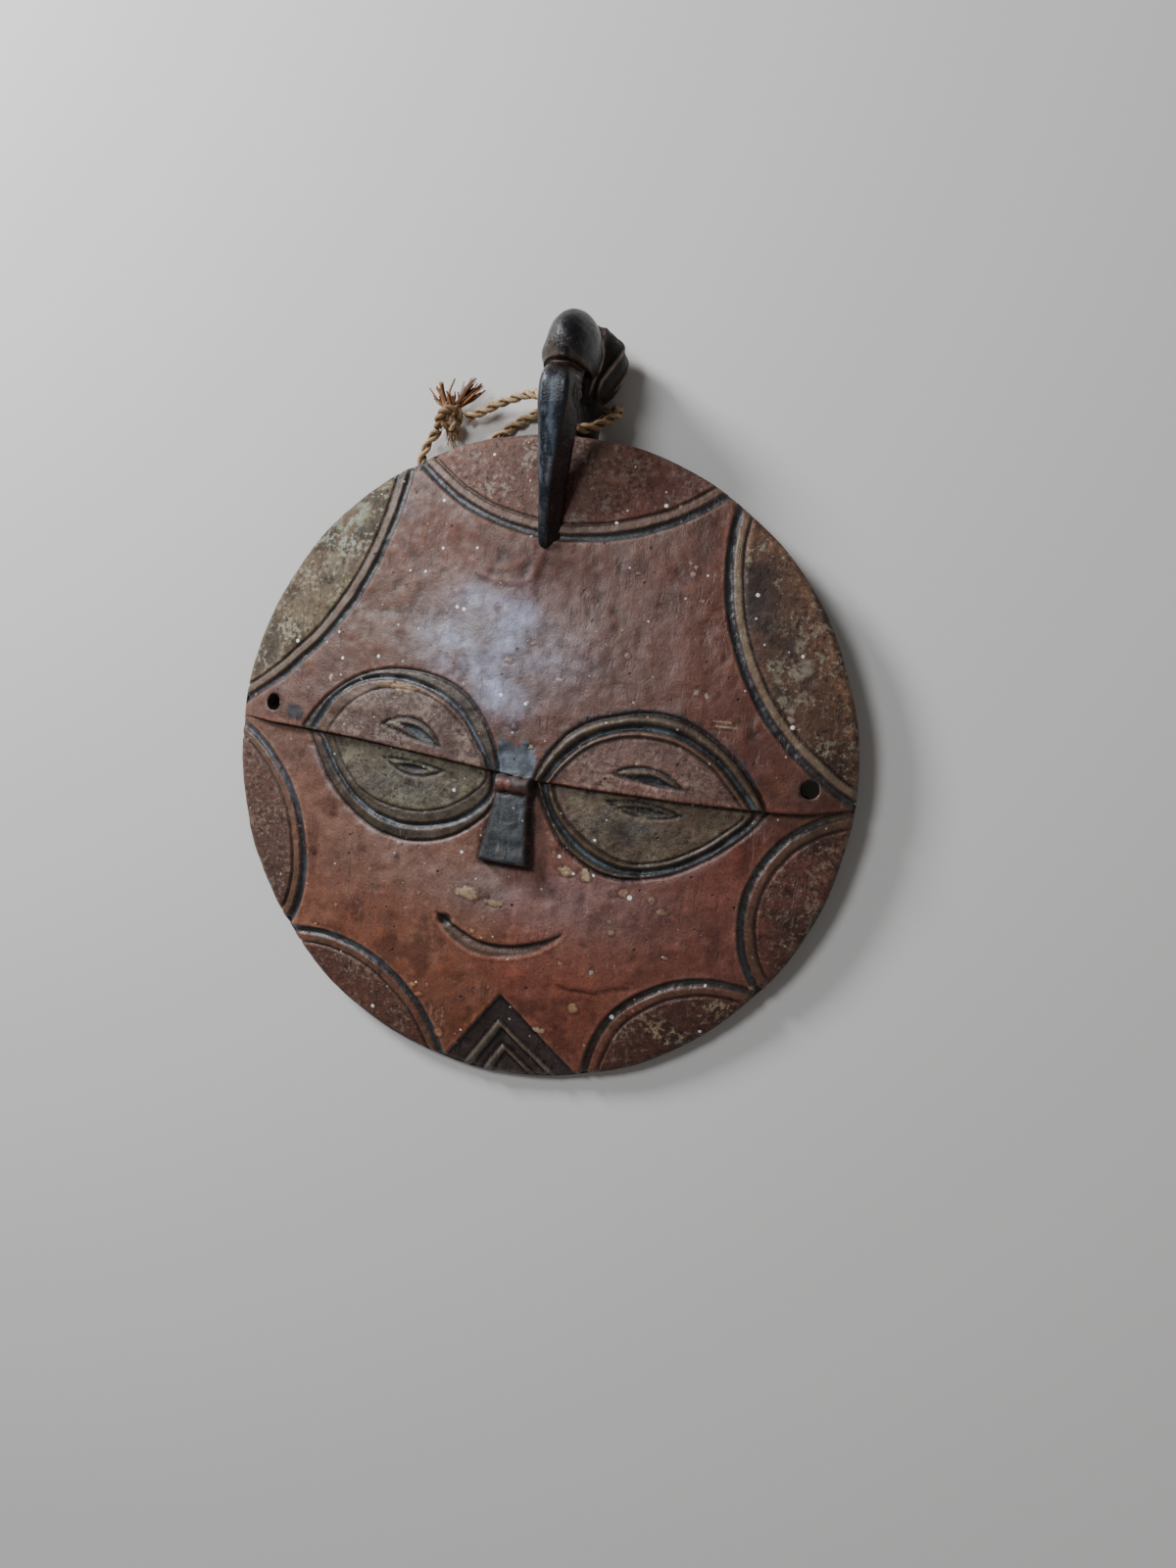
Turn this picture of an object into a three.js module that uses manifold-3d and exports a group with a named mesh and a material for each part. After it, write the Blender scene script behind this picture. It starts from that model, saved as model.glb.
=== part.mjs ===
// Round carved face mask with a long-beaked bird head, lying on its back, with a cord looped round the bird's neck.
// Millimetres, +Z up. The carving is laid out in a face frame: u to the right, v up the face, w out of the face,
// with w = 0 in the plane of the rim's front edge. The face frame is then leaned back onto the surface it lies on.
import * as THREE from "three";
import { mergeVertices } from "three/addons/utils/BufferGeometryUtils.js";
import Module from "manifold-3d";

const wasm = await Module();
wasm.setup();
const { Manifold, Mesh } = wasm;

// ---------- named sizes ----------
const R = 150;            // radius of the round face
const RISE = 17;          // height of the dome at its middle
const FALL = 2.2;         // how late the dome falls away towards the rim
const BROW = 3.5;         // how far the upper half stands proud along the eye line
const BROW_FADE = 60;     // how quickly that fades up the forehead
const RIM_BACK = -8;      // back edge of the rim
const RIM_WIDE = 13;      // width of the rim's back ring
const WALL = 9;           // thickness of the shell
const LEAN = Math.atan2(0.06434, 0.99793); // rim plane against the surface the mask lies on
const LIFT = 16.83;       // raises the leaned face frame so that the rim and crest bed on z = 0
const GROOVE = 1.5;       // half width of a rim or eye groove
const GROOVE_DEEP = 1.3;
const FINE = 0.8;         // half width of the thin outer grooves
const FINE_DEEP = 0.8;
const HOLE_R = 4.25;      // the two side holes

// ---------- helpers ----------
function solid(geometry) {
  const g = geometry.clone();
  for (const name of Object.keys(g.attributes)) if (name !== "position") g.deleteAttribute(name);
  const m = mergeVertices(g, 1e-4);
  const index = m.index ? m.index.array : Uint32Array.from({ length: m.attributes.position.count }, (_, i) => i);
  return new Manifold(new Mesh({ numProp: 3, vertProperties: new Float32Array(m.attributes.position.array), triVerts: new Uint32Array(index) }));
}

function geometryOf(manifold) {
  const mesh = manifold.getMesh();
  const positions = new Float32Array(mesh.numVert * 3);
  for (let i = 0; i < mesh.numVert; i++) for (let k = 0; k < 3; k++) positions[3 * i + k] = mesh.vertProperties[i * mesh.numProp + k];
  const g = new THREE.BufferGeometry();
  g.setAttribute("position", new THREE.BufferAttribute(positions, 3));
  g.setIndex(Array.from(mesh.triVerts));
  g.computeVertexNormals();
  return g;
}

// a prism along w over an outline in (u, v)
function prism(points, low = -60, high = 60) {
  const shape = new THREE.Shape(points.map(([u, v]) => new THREE.Vector2(u, v)));
  const g = new THREE.ExtrudeGeometry(shape, { depth: high - low, bevelEnabled: false });
  g.translate(0, 0, low);
  return solid(g);
}

// a circular arc from a to b, standing off its chord by sag to the left of a -> b; extra lengthens both ends
function arc(a, b, sag, steps, extra = 0) {
  const dx = b[0] - a[0], dy = b[1] - a[1], chord = Math.hypot(dx, dy), side = Math.sign(sag), s = Math.abs(sag);
  const radius = (chord * chord / 4 + s * s) / (2 * s);
  const tx = dx / chord, ty = dy / chord, nx = -ty * side, ny = tx * side;
  const cx = (a[0] + b[0]) / 2 + nx * (s - radius), cy = (a[1] + b[1]) / 2 + ny * (s - radius);
  const half = Math.asin(Math.min(1, chord / 2 / radius)), over = extra / radius;
  const points = [];
  for (let i = 0; i <= steps; i++) {
    const angle = -half - over + (2 * (half + over) * i) / steps;
    points.push([cx + radius * (Math.sin(angle) * tx + Math.cos(angle) * nx), cy + radius * (Math.sin(angle) * ty + Math.cos(angle) * ny)]);
  }
  return points;
}

// the two sides of a line, width(t) to each side, as one outline
function band(line, width) {
  const left = [], right = [], last = line.length - 1;
  line.forEach((p, i) => {
    const a = line[Math.max(0, i - 1)], b = line[Math.min(last, i + 1)];
    const dx = b[0] - a[0], dy = b[1] - a[1], d = Math.hypot(dx, dy), w = typeof width === "function" ? width(i / last) : width;
    left.push([p[0] - (dy / d) * w, p[1] + (dx / d) * w]);
    right.push([p[0] + (dy / d) * w, p[1] - (dx / d) * w]);
  });
  return [...left, ...right.reverse()];
}

// an almond between two corners, with its own sag above and below
function almond(a, b, up, down, steps) {
  return [...arc(a, b, up, steps), ...arc(a, b, -down, steps).reverse().slice(1, -1)];
}

const grow = (list) => (list.length === 1 ? list[0] : Manifold.union(list));

// ---------- the domed front ----------
const dome = (r) => (r < R ? RISE * (1 - Math.pow(r / R, FALL)) : -RISE * FALL * (r - R) / R);
function front(u, v, brow) {
  const r = Math.hypot(u, v);
  const edge = THREE.MathUtils.clamp((R - r) / 22, 0, 1);
  return dome(r) + (brow ? BROW * Math.exp(-((v / BROW_FADE) ** 2)) * edge * edge * (3 - 2 * edge) : 0);
}

// everything under the front surface shifted by h, out to beyond the rim
function under(h, brow) {
  const rings = [0, 26, 50, 72, 92, 110, 126, 139, 150, 158], sectors = 40, floor = -50, p = [], t = [];
  const at = (i, j) => (i === 0 ? 0 : 1 + (i - 1) * sectors + (j % sectors));
  p.push(0, 0, front(0, 0, brow) + h);
  for (let i = 1; i < rings.length; i++) for (let j = 0; j < sectors; j++) {
    const a = (2 * Math.PI * j) / sectors, u = rings[i] * Math.cos(a), v = rings[i] * Math.sin(a);
    p.push(u, v, front(u, v, brow) + h);
  }
  for (let j = 0; j < sectors; j++) t.push(0, at(1, j), at(1, j + 1));
  for (let i = 1; i < rings.length - 1; i++) for (let j = 0; j < sectors; j++) {
    t.push(at(i, j), at(i + 1, j), at(i + 1, j + 1), at(i, j), at(i + 1, j + 1), at(i, j + 1));
  }
  const base = p.length / 3, outer = rings.length - 1;
  for (let j = 0; j < sectors; j++) { const a = (2 * Math.PI * j) / sectors; p.push(rings[outer] * Math.cos(a), rings[outer] * Math.sin(a), floor); }
  p.push(0, 0, floor);
  const mid = base + sectors;
  for (let j = 0; j < sectors; j++) {
    const k = (j + 1) % sectors;
    t.push(at(outer, j), base + j, base + k, at(outer, j), base + k, at(outer, j + 1), mid, base + k, base + j);
  }
  return new Manifold(new Mesh({ numProp: 3, vertProperties: new Float32Array(p), triVerts: new Uint32Array(t) }));
}

// the eye line: the step runs from hole to hole, sagging a little to the right of the nose
const eyeLine = [[-170, 2], [-147, 2], [-110, 1], [-77, -0.4], [-53, -2], [-35, -3.7], [-12, -6], [11, -8], [47, -8], [92, -8], [115, -7.6], [130, -6], [146, -3], [170, -1]];
const above = prism([...eyeLine, [170, 170], [-170, 170]]);
const skin = (h) => under(h, false).add(under(h, true).intersect(above));

// ---------- the shell ----------
const puck = new THREE.LatheGeometry(
  [[0, -12], [R - 2, -12], [R - 2, RIM_BACK], [R, RIM_BACK + 2], [R, -1.6], [R - 1.6, 0.8], [R - 1.6, 40], [0, 40]].map(([r, w]) => new THREE.Vector2(r, w)), 80);
puck.rotateX(Math.PI / 2);
const cavityProfile = [[0, -40]];
cavityProfile.push([R - RIM_WIDE + 1, -40], [R - RIM_WIDE + 1, RIM_BACK], [R - RIM_WIDE - 1, dome(R - RIM_WIDE) - WALL + 0.6]);
for (const r of [122, 104, 84, 62, 38, 16]) cavityProfile.push([r, dome(r) - WALL]);
cavityProfile.push([0, dome(0) - WALL]);
const cavity = new THREE.LatheGeometry(cavityProfile.map(([r, w]) => new THREE.Vector2(r, w)), 36);
cavity.rotateX(Math.PI / 2);

const backing = new THREE.BoxGeometry(400, 400, 60);
backing.translate(0, 0, RIM_BACK + 30);
let shell = skin(0).intersect(solid(puck)).intersect(solid(backing)).subtract(solid(cavity));

// ---------- grooves ----------
// the lens-shaped fields round the rim: the ends on the rim and how far the groove bows towards the middle
const fields = [
  { a: [-67, 130], b: [77, 128], sag: -26.5 },
  { a: [-74.4, 126], b: [-146, 11.5], sag: 18 },
  { a: [82.9, 124.9], b: [147.5, 1.5], sag: -22.4 },
  { a: [-146.4, -2.5], b: [-113, -95.5], sag: 21 },
  { a: [147, -4.7], b: [118.5, -88], sag: -23 },
  { a: [-110.5, -100], b: [-26, -146], sag: 18.5 },
  { a: [45, -140], b: [118, -90], sag: 21 },
];
const wide = [], fine = [];
for (const { a, b, sag } of fields) {
  wide.push(prism(band(arc(a, b, sag, 11, 6), GROOVE)));
  const out = Math.hypot(a[0] + b[0], a[1] + b[1]), push = 6 / out, shift = (p) => [p[0] + (a[0] + b[0]) * push * 0.9, p[1] + (a[1] + b[1]) * push * 0.9];
  fine.push(prism(band(arc(shift(a), shift(b), sag, 8, -3), FINE)));
}
// the almond round each eye: a dark groove inside, a ridge, and a thin groove outside
const eyes = [
  { outer: [[-106, 1], [-8.5, -6], 37.8, 39.6], inner: [[-97.5, 0.4], [-10.5, -6], 30.3, 32.6] },
  { outer: [[9.5, -6], [112, -6.5], 34.8, 39.0], inner: [[14, -6], [107.5, -6.5], 27.8, 34.0] },
];
for (const { outer, inner } of eyes) {
  for (const side of [0, 1]) {
    const sag = (e) => (side ? -e[3] : e[2]);
    wide.push(prism(band(arc(inner[0], inner[1], sag(inner), 14), (t) => 0.6 + GROOVE * Math.sqrt(Math.sin(Math.PI * t)))));
    fine.push(prism(band(arc(outer[0], outer[1], sag(outer), 12), (t) => 0.25 + FINE * Math.sqrt(Math.sin(Math.PI * t)))));
  }
}
// the small nested almonds in the eyes, shallow with a deeper slot
const lids = [[[-68, 8], [-36.5, 1.3], 8, 0.5], [[-67, -7], [-34, -9.3], 0.5, 6], [[43.3, 0.2], [76, -2], 5.5, 0.4], [[42, -12.7], [77.3, -14.4], 3, 4.5]];
const slots = [[[-57, 9], [-40, 3], 1.6, 1.2], [[-58.6, -9.8], [-43.3, -9.8], 1.2, 1.6], [[56.3, 0.2], [70.5, -1.5], 1.4, 1], [[52.3, -14.4], [71.6, -14.4], 1.2, 1.6]];
for (const [a, b, up, down] of lids) fine.push(prism(almond(a, b, up, down, 6)));
for (const [a, b, up, down] of slots) wide.push(prism(almond(a, b, up, down, 4)));
// nested pointed panels on the chin
const chevrons = [[[-21.7, -147], [3, -108.7], [38.7, -141], 1], [[-10.4, -148.7], [3, -122], [29, -144.7], 3.4], [[-1.3, -149.8], [4.2, -134.5], [21.7, -147], 2.4]];
for (const [a, top, b, half] of chevrons) {
  const down = (p, d) => [p[0] + (p[0] - top[0]) * d, p[1] + (p[1] - top[1]) * d];
  const drop = half * 2.1;
  wide.push(prism([down(a, 0.2), top, down(b, 0.2), [b[0] + (b[0] - top[0]) * 0.2 - half * 1.2, b[1] + (b[1] - top[1]) * 0.2 - drop], [top[0], top[1] - drop], [a[0] + (a[0] - top[0]) * 0.2 + half * 1.2, a[1] + (a[1] - top[1]) * 0.2 - drop]]));
}
shell = shell.subtract(grow(wide).subtract(under(-GROOVE_DEEP, false).add(under(-GROOVE_DEEP, true).intersect(above))));
shell = shell.subtract(grow(fine).subtract(under(-FINE_DEEP, false).add(under(-FINE_DEEP, true).intersect(above))));

// the mouth: a thin upturned crescent with a round deeper left end
const mouthLine = [[-29, -76.5], [-27, -79], [-21, -84.5], [-14, -88], [0, -89], [13, -86.3], [24, -81], [30, -76]];
const mouth = prism(band(mouthLine, (t) => (t < 0.16 ? 3.6 : 2.6 * Math.sqrt(Math.max(0.04, 1 - ((t - 0.45) / 0.57) ** 2)))));
shell = shell.subtract(mouth.subtract(under(-2.6, false)));

// the two side holes, and three small nicks in the rim between the fields
const round = (u, v, r, steps) => prism(Array.from({ length: steps }, (_, i) => [u + r * Math.cos((2 * Math.PI * i) / steps), v + r * Math.sin((2 * Math.PI * i) / steps)]));
shell = shell.subtract(round(-129, 11, HOLE_R, 12)).subtract(round(130, 4.7, HOLE_R, 12));
for (const degrees of [119, 219.9, 323.5]) {
  const a = THREE.MathUtils.degToRad(degrees), c = Math.cos(a), s = Math.sin(a);
  shell = shell.subtract(prism([[c * 147.6, s * 147.6], [c * 153 + s * 2.6, s * 153 - c * 2.6], [c * 153 - s * 2.6, s * 153 + c * 2.6]]));
}

// ---------- the nose: a rounded roll on the eye line, and a wedge that widens downwards ----------
function loft(stations, sides, flute = 0, count = 0) {
  // stations: [[centre u, v, w], half width across u, half depth along the section's own w, lean of the section about u]
  const p = [], t = [], n = stations.length;
  for (const [c, a, b, lean] of stations) for (let j = 0; j < sides; j++) {
    const q = (2 * Math.PI * j) / sides, f = 1 + flute * Math.cos(count * q), x = a * f * Math.cos(q), y = b * f * Math.sin(q);
    p.push(c[0] + x, c[1] - y * Math.sin(lean), c[2] + y * Math.cos(lean));
  }
  for (let i = 0; i < n - 1; i++) for (let j = 0; j < sides; j++) {
    const a = i * sides + j, b = i * sides + ((j + 1) % sides);
    t.push(a, b + sides, b, a, a + sides, b + sides);
  }
  for (let j = 1; j < sides - 1; j++) { t.push(0, j, j + 1); t.push((n - 1) * sides, (n - 1) * sides + j + 1, (n - 1) * sides + j); }
  const m = new Manifold(new Mesh({ numProp: 3, vertProperties: new Float32Array(p), triVerts: new Uint32Array(t) }));
  return m.volume() > 0 ? m : solidFlipped(p, t);
}
function solidFlipped(p, t) {
  const r = t.slice();
  for (let i = 0; i < r.length; i += 3) [r[i + 1], r[i + 2]] = [r[i + 2], r[i + 1]];
  return new Manifold(new Mesh({ numProp: 3, vertProperties: new Float32Array(p), triVerts: new Uint32Array(r) }));
}
const rollGeometry = new THREE.CylinderGeometry(4.1, 4.1, 17, 10);
rollGeometry.rotateZ(Math.PI / 2);
rollGeometry.translate(0.2, -10.7, dome(10) + 2.2);
const wedgeShape = new THREE.Shape([[-7, -15.2], [8, -15.2], [11, -46.4], [-12.1, -46.4]].map(([u, v]) => new THREE.Vector2(u, v)));
const wedgeGeometry = new THREE.ExtrudeGeometry(wedgeShape, { depth: 10, bevelEnabled: true, bevelThickness: 2.2, bevelSize: 1.6, bevelOffset: -1.6, bevelSegments: 2 });
wedgeGeometry.translate(0, 0, 11.6);
const nose = solid(rollGeometry).add(solid(wedgeGeometry));

// ---------- the bird: beak, head, fluted crest and the neck that joins it to the back of the rim ----------
const sides = 12;
const beak = loft([
  [[0, 96.5, 8], 3.4, 4.6, 0], [[0, 99, 8.2], 4.9, 5.6, 0], [[0, 110, 10.6], 5.2, 6.4, 0.1], [[0, 122, 13.2], 5.7, 7.1, 0.12],
  [[0, 134, 15], 6.8, 8.1, 0.14], [[0, 146, 16.8], 7.8, 9.2, 0.18], [[0, 158, 19.2], 8.8, 10.6, 0.2], [[0, 168, 19.8], 9.6, 11.6, 0.1], [[0, 176, 17.5], 9.8, 11.4, -0.1], [[0, 183, 13], 9, 10, -0.3],
], sides);
const ball = (cu, cv, cw, a, b, c, n, m) => { const g = new THREE.SphereGeometry(1, n, m); g.scale(a, b, c); g.translate(cu, cv, cw); return solid(g); };
const head = ball(0, 187, 8.5, 14.2, 14.6, 15, 16, 11);
const crest = loft([
  [[0, 164, -12.5], 10, 6.5, 0], [[0, 168, -13], 14, 10, 0], [[0, 174, -14], 17.4, 13.4, 0], [[0, 181, -15], 19, 15, 0], [[0, 188, -15], 18.6, 14.8, 0],
  [[0, 194, -14.5], 15.6, 12.6, 0], [[0, 199, -13.5], 10.4, 8.6, 0], [[0, 201.6, -13], 4.5, 4, 0],
], 24, 0.05, 8);
const nape = ball(0, 184, -3, 12.5, 13.5, 13, 12, 8);
const neck = loft([
  [[0, 137.5, -3.6], 13.2, 3.2, 0.1], [[0, 144, -6], 12.6, 4.4, 0.2], [[0, 150, -9.2], 12, 5.6, 0.25], [[0, 157, -12], 11.4, 6.8, 0.2], [[0, 165, -13.4], 12, 8, 0.1], [[0, 174, -14.5], 13, 10, 0],
], sides);

// ---------- put together and laid down ----------
const face = new THREE.Matrix4().makeRotationX(LEAN).setPosition(0, 0, LIFT);
const laid = (m) => m.transform(face.toArray());
const ground = new THREE.BoxGeometry(600, 600, 60);
ground.translate(0, 0, -30);
let mask = laid(shell.add(nose).add(beak).add(head).add(crest).add(nape).add(neck)).subtract(solid(ground));
const box = mask.boundingBox();
const CENTRE_Y = (box.min[1] + box.max[1]) / 2;
mask = mask.translate([0, -CENTRE_Y, 0]).simplify(0.2);

// ---------- the cord: one closed loop of twisted fibre, hitched round the neck and knotted at its left ----------
const CORD_D = 4.6;
// laid-down frame before centring: x, y, z of the loop's middle line, from the knot round the neck and back to it
const route = [
  [-58.6, 160.4, 4.6], [-50.2, 163.2, 6.6], [-41.6, 166.2, 10], [-33.2, 168.5, 12.8], [-25.6, 169.6, 16], [-18.6, 168.6, 19.8], [-12.6, 164, 23], [-7, 158.6, 24.8],
  [0, 154.4, 25.4], [7, 152.9, 24.9], [13, 155.8, 21.8], [17.2, 160.8, 16.8], [18.4, 165.4, 11], [15.6, 167.8, 5.8], [9, 167.6, 3], [0, 167, 2.5],
  [-9, 167.2, 2.5], [-17, 167, 2.5], [-24, 165.2, 2.6], [-31.5, 161, 2.6], [-39, 155.3, 2.6], [-46.4, 149, 2.7], [-52.6, 142.2, 3], [-57.2, 135.2, 3.4],
  [-61.8, 128.8, 4], [-67.8, 125.2, 4.6], [-74, 126.6, 4.9], [-77.6, 131.8, 5], [-78.4, 138, 4.9], [-77.4, 144, 4.8], [-74.8, 149.4, 4.9], [-71.4, 153, 5.2],
];
const line = new THREE.CatmullRomCurve3(route.map(([x, y, z]) => new THREE.Vector3(x, y - CENTRE_Y, z)), false, "centripetal");
const ring = new THREE.Shape(Array.from({ length: 8 }, (_, i) => new THREE.Vector2((CORD_D / 2) * Math.cos((Math.PI * i) / 4), (CORD_D / 2) * Math.sin((Math.PI * i) / 4))));
const cord = new THREE.ExtrudeGeometry(ring, { steps: 30, extrudePath: line, bevelEnabled: false });

// the knot, a fist of crossed turns, with the two short cut ends standing out of it
const knotGeometry = ball(-66.4, 157.2 - CENTRE_Y, 6, 7.2, 7, 6, 12, 8);
function tail(from, to, r0, r1) {
  const a = new THREE.Vector3(...from), b = new THREE.Vector3(...to), g = new THREE.CylinderGeometry(r1, r0, a.distanceTo(b), 8);
  g.applyQuaternion(new THREE.Quaternion().setFromUnitVectors(new THREE.Vector3(0, 1, 0), b.clone().sub(a).normalize()));
  g.translate((a.x + b.x) / 2, (a.y + b.y) / 2 - CENTRE_Y, (a.z + b.z) / 2);
  return solid(g);
}
const nearCord = new THREE.ExtrudeGeometry(new THREE.Shape(Array.from({ length: 8 }, (_, i) => new THREE.Vector2(2.7 * Math.cos((Math.PI * i) / 4), 2.7 * Math.sin((Math.PI * i) / 4)))), { steps: 30, extrudePath: line, bevelEnabled: false });
let knot = knotGeometry.add(tail([-67.5, 160, 6.5], [-73.6, 171, 8], 2.3, 3.6)).add(tail([-64, 160, 6.5], [-57.6, 174, 8], 2.3, 4.2));
knot = knot.subtract(solid(nearCord));
for (const [end, before] of [[route[0], route[1]], [route[route.length - 1], route[route.length - 2]]]) {
  const d = end.map((x, k) => x - before[k]), long = Math.hypot(...d);
  knot = knot.subtract(tail(end.map((x, k) => x - (d[k] / long) * 0.6), end.map((x, k) => x + (d[k] / long) * 0.3), 2.8, 2.8));
}
knot = knot.translate([0, 0, 0.1]);

// ---------- scene graph ----------
const object = new THREE.Group();
object.name = "tribal_mask";
const add = (name, geometry, colour, roughness) => {
  const mesh = new THREE.Mesh(geometry, new THREE.MeshStandardMaterial({ color: colour, roughness, metalness: 0 }));
  mesh.name = name;
  object.add(mesh);
};
add("mask", geometryOf(mask), 0x4a3a33, 0.6);
add("cord_loop", cord, 0xa88b5a, 0.95);
add("cord_knot", geometryOf(knot), 0x8a6a42, 0.95);

export default object;
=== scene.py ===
import bpy
import math
import numpy as np
from mathutils import Matrix, Vector
from mathutils.geometry import delaunay_2d_cdt


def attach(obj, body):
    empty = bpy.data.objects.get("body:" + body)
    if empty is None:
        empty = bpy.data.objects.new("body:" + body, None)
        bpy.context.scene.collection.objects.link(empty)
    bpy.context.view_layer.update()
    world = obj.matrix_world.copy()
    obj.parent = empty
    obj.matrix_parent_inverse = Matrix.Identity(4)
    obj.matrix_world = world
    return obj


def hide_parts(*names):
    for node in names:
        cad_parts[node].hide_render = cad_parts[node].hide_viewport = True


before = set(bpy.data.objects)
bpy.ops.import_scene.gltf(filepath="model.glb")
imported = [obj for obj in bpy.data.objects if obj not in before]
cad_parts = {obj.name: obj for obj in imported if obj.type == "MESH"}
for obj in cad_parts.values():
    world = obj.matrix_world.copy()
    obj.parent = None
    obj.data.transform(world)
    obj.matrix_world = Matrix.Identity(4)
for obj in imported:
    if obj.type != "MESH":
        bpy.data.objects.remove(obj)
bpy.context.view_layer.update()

# ---------------------------------------------------------------- the face frame
# u to the right, v up the face, w out of it, in mm; the mask lies back on the floor by LEAN.
R = 150.0
RISE, FALL = 17.0, 2.2
BROW, BROW_FADE = 3.5, 60.0
RIM_BACK, RIM_WIDE, WALL = -8.0, 13.0, 9.0
LEAN = math.atan2(0.06434, 0.99793)
LIFT, CENTRE_Y = 16.83, 26.351
CL, SL = math.cos(LEAN), math.sin(LEAN)


def row(p):
    """Points of the face frame in mm, as points of the row frame in metres."""
    p = np.atleast_2d(np.asarray(p, float))
    return np.stack([p[:, 0], p[:, 1] * CL - p[:, 2] * SL - CENTRE_Y, p[:, 1] * SL + p[:, 2] * CL + LIFT], 1) / 1000


def turned(d):
    d = np.asarray(d, float)
    return Vector((d[0], d[1] * CL - d[2] * SL, d[1] * SL + d[2] * CL))


# ---------------------------------------------------------------- camera
cam_data = bpy.data.cameras.new("camera")
cam_data.sensor_width = 36
cam_data.lens = 25.9875
cam_data.clip_start, cam_data.clip_end = 0.02, 20
cam = bpy.data.objects.new("camera", cam_data)
right, up, look = turned((0.96199, 0.12422, -0.24319)), turned((-0.14024, 0.98887, -0.04963)), turned((-0.23432, -0.08185, -0.96871))
turn = Matrix((right, up, -look)).transposed()
cam.matrix_world = Matrix.Translation(Vector(row((151.96, 35.47, 504.79))[0])) @ turn.to_4x4()
bpy.context.scene.collection.objects.link(cam)
bpy.context.scene.camera = cam


# ---------------------------------------------------------------- numbers that look carved: lattice noise
def lattice(ix, iy, iz, seed):
    h = (ix * 374761393 + iy * 668265263 + iz * 2147483647 + seed * 1274126177) & 0xFFFFFFFF
    h = ((h ^ (h >> 13)) * 1274126177) & 0xFFFFFFFF
    h = ((h ^ (h >> 16)) * 2246822519) & 0xFFFFFFFF
    return ((h ^ (h >> 15)) & 0xFFFFFF) / float(0xFFFFFF) * 2 - 1


def noise(p, size, seed=0):
    """Smooth noise from -1 to 1, with blobs about size across."""
    p = np.atleast_2d(np.asarray(p, float))
    if p.shape[1] == 2:
        p = np.c_[p, np.full(len(p), 0.37)]
    q = p / np.asarray(size, float) + 1000.5 + seed * 3.17
    i = np.floor(q).astype(np.int64)
    f = q - i
    f = f * f * f * (f * (f * 6 - 15) + 10)
    out = 0
    for dx in (0, 1):
        for dy in (0, 1):
            for dz in (0, 1):
                w = (f[:, 0] if dx else 1 - f[:, 0]) * (f[:, 1] if dy else 1 - f[:, 1]) * (f[:, 2] if dz else 1 - f[:, 2])
                out = out + w * lattice(i[:, 0] + dx, i[:, 1] + dy, i[:, 2] + dz, seed)
    return out


def fbm(p, size, octaves=4, seed=0, gain=0.55):
    total, amp, norm = 0, 1.0, 0.0
    size = np.asarray(size, float)
    for k in range(octaves):
        total = total + amp * noise(p, size / 2**k, seed + 7 * k)
        norm += amp
        amp *= gain
    return total / norm * 1.6


def smooth(x, a, b):
    t = np.clip((np.asarray(x, float) - a) / (b - a), 0, 1)
    return t * t * (3 - 2 * t)


def hump(x):
    """1 in the middle, 0 from x = 1 and x = -1 outwards, with soft shoulders."""
    x = np.clip(np.abs(x), 0, 1)
    return (1 - x * x) ** 1.5


def gauss(p, centre, size):
    d = (p[:, :2] - np.asarray(centre, float)) / np.asarray(size, float)
    return np.exp(-(d * d).sum(1))


def curve(points, step=1.0):
    """A smooth line through points, as a dense polyline."""
    p = np.array(points, float)
    q = np.r_[[2 * p[0] - p[1]], p, [2 * p[-1] - p[-2]]]
    out = []
    for i in range(1, len(q) - 2):
        n = max(2, int(np.linalg.norm(q[i + 1] - q[i]) / step))
        for t in np.arange(n) / n:
            a, b, c, d = q[i - 1], q[i], q[i + 1], q[i + 2]
            out.append(0.5 * ((2 * b) + (c - a) * t + (2 * a - 5 * b + 4 * c - d) * t**2 + (3 * b - 3 * c + d - a) * t**3))
    out.append(p[-1])
    return np.array(out)


def mesh_object(name, points, triangles, smooth_faces=True):
    mesh = bpy.data.meshes.new(name)
    mesh.from_pydata(np.asarray(points).tolist(), [], np.asarray(triangles).tolist())
    mesh.validate()
    mesh.polygons.foreach_set("use_smooth", np.full(len(mesh.polygons), smooth_faces))
    mesh.update()
    o = bpy.data.objects.new(name, mesh)
    bpy.context.scene.collection.objects.link(o)
    return o


def paint(o, colours, name="tone"):
    a = o.data.attributes.new(name, "FLOAT_COLOR", "POINT")
    c = np.c_[np.clip(colours, 0, 1), np.ones(len(colours))].astype(np.float32)
    a.data.foreach_set("color", c.ravel())


def value(o, values, name):
    a = o.data.attributes.new(name, "FLOAT", "POINT")
    a.data.foreach_set("value", np.asarray(values, np.float32))


def mix(a, b, t):
    t = np.clip(t, 0, 1)[:, None]
    return a * (1 - t) + np.asarray(b, float) * t


# ---------------------------------------------------------------- materials
def nodes_of(name):
    mat = bpy.data.materials.new(name)
    mat.use_nodes = True
    nt = mat.node_tree
    nt.nodes.clear()
    out = nt.nodes.new("ShaderNodeOutputMaterial")
    bsdf = nt.nodes.new("ShaderNodeBsdfPrincipled")
    nt.links.new(bsdf.outputs["BSDF"], out.inputs["Surface"])
    return mat, nt, bsdf


def add(nt, kind, **props):
    n = nt.nodes.new(kind)
    inputs = props.pop("inputs", {})
    for k, v in props.items():
        setattr(n, k, v)
    for k, v in inputs.items():
        if isinstance(v, bpy.types.NodeSocket):
            nt.links.new(v, n.inputs[k])
        else:
            n.inputs[k].default_value = v
    return n


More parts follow.
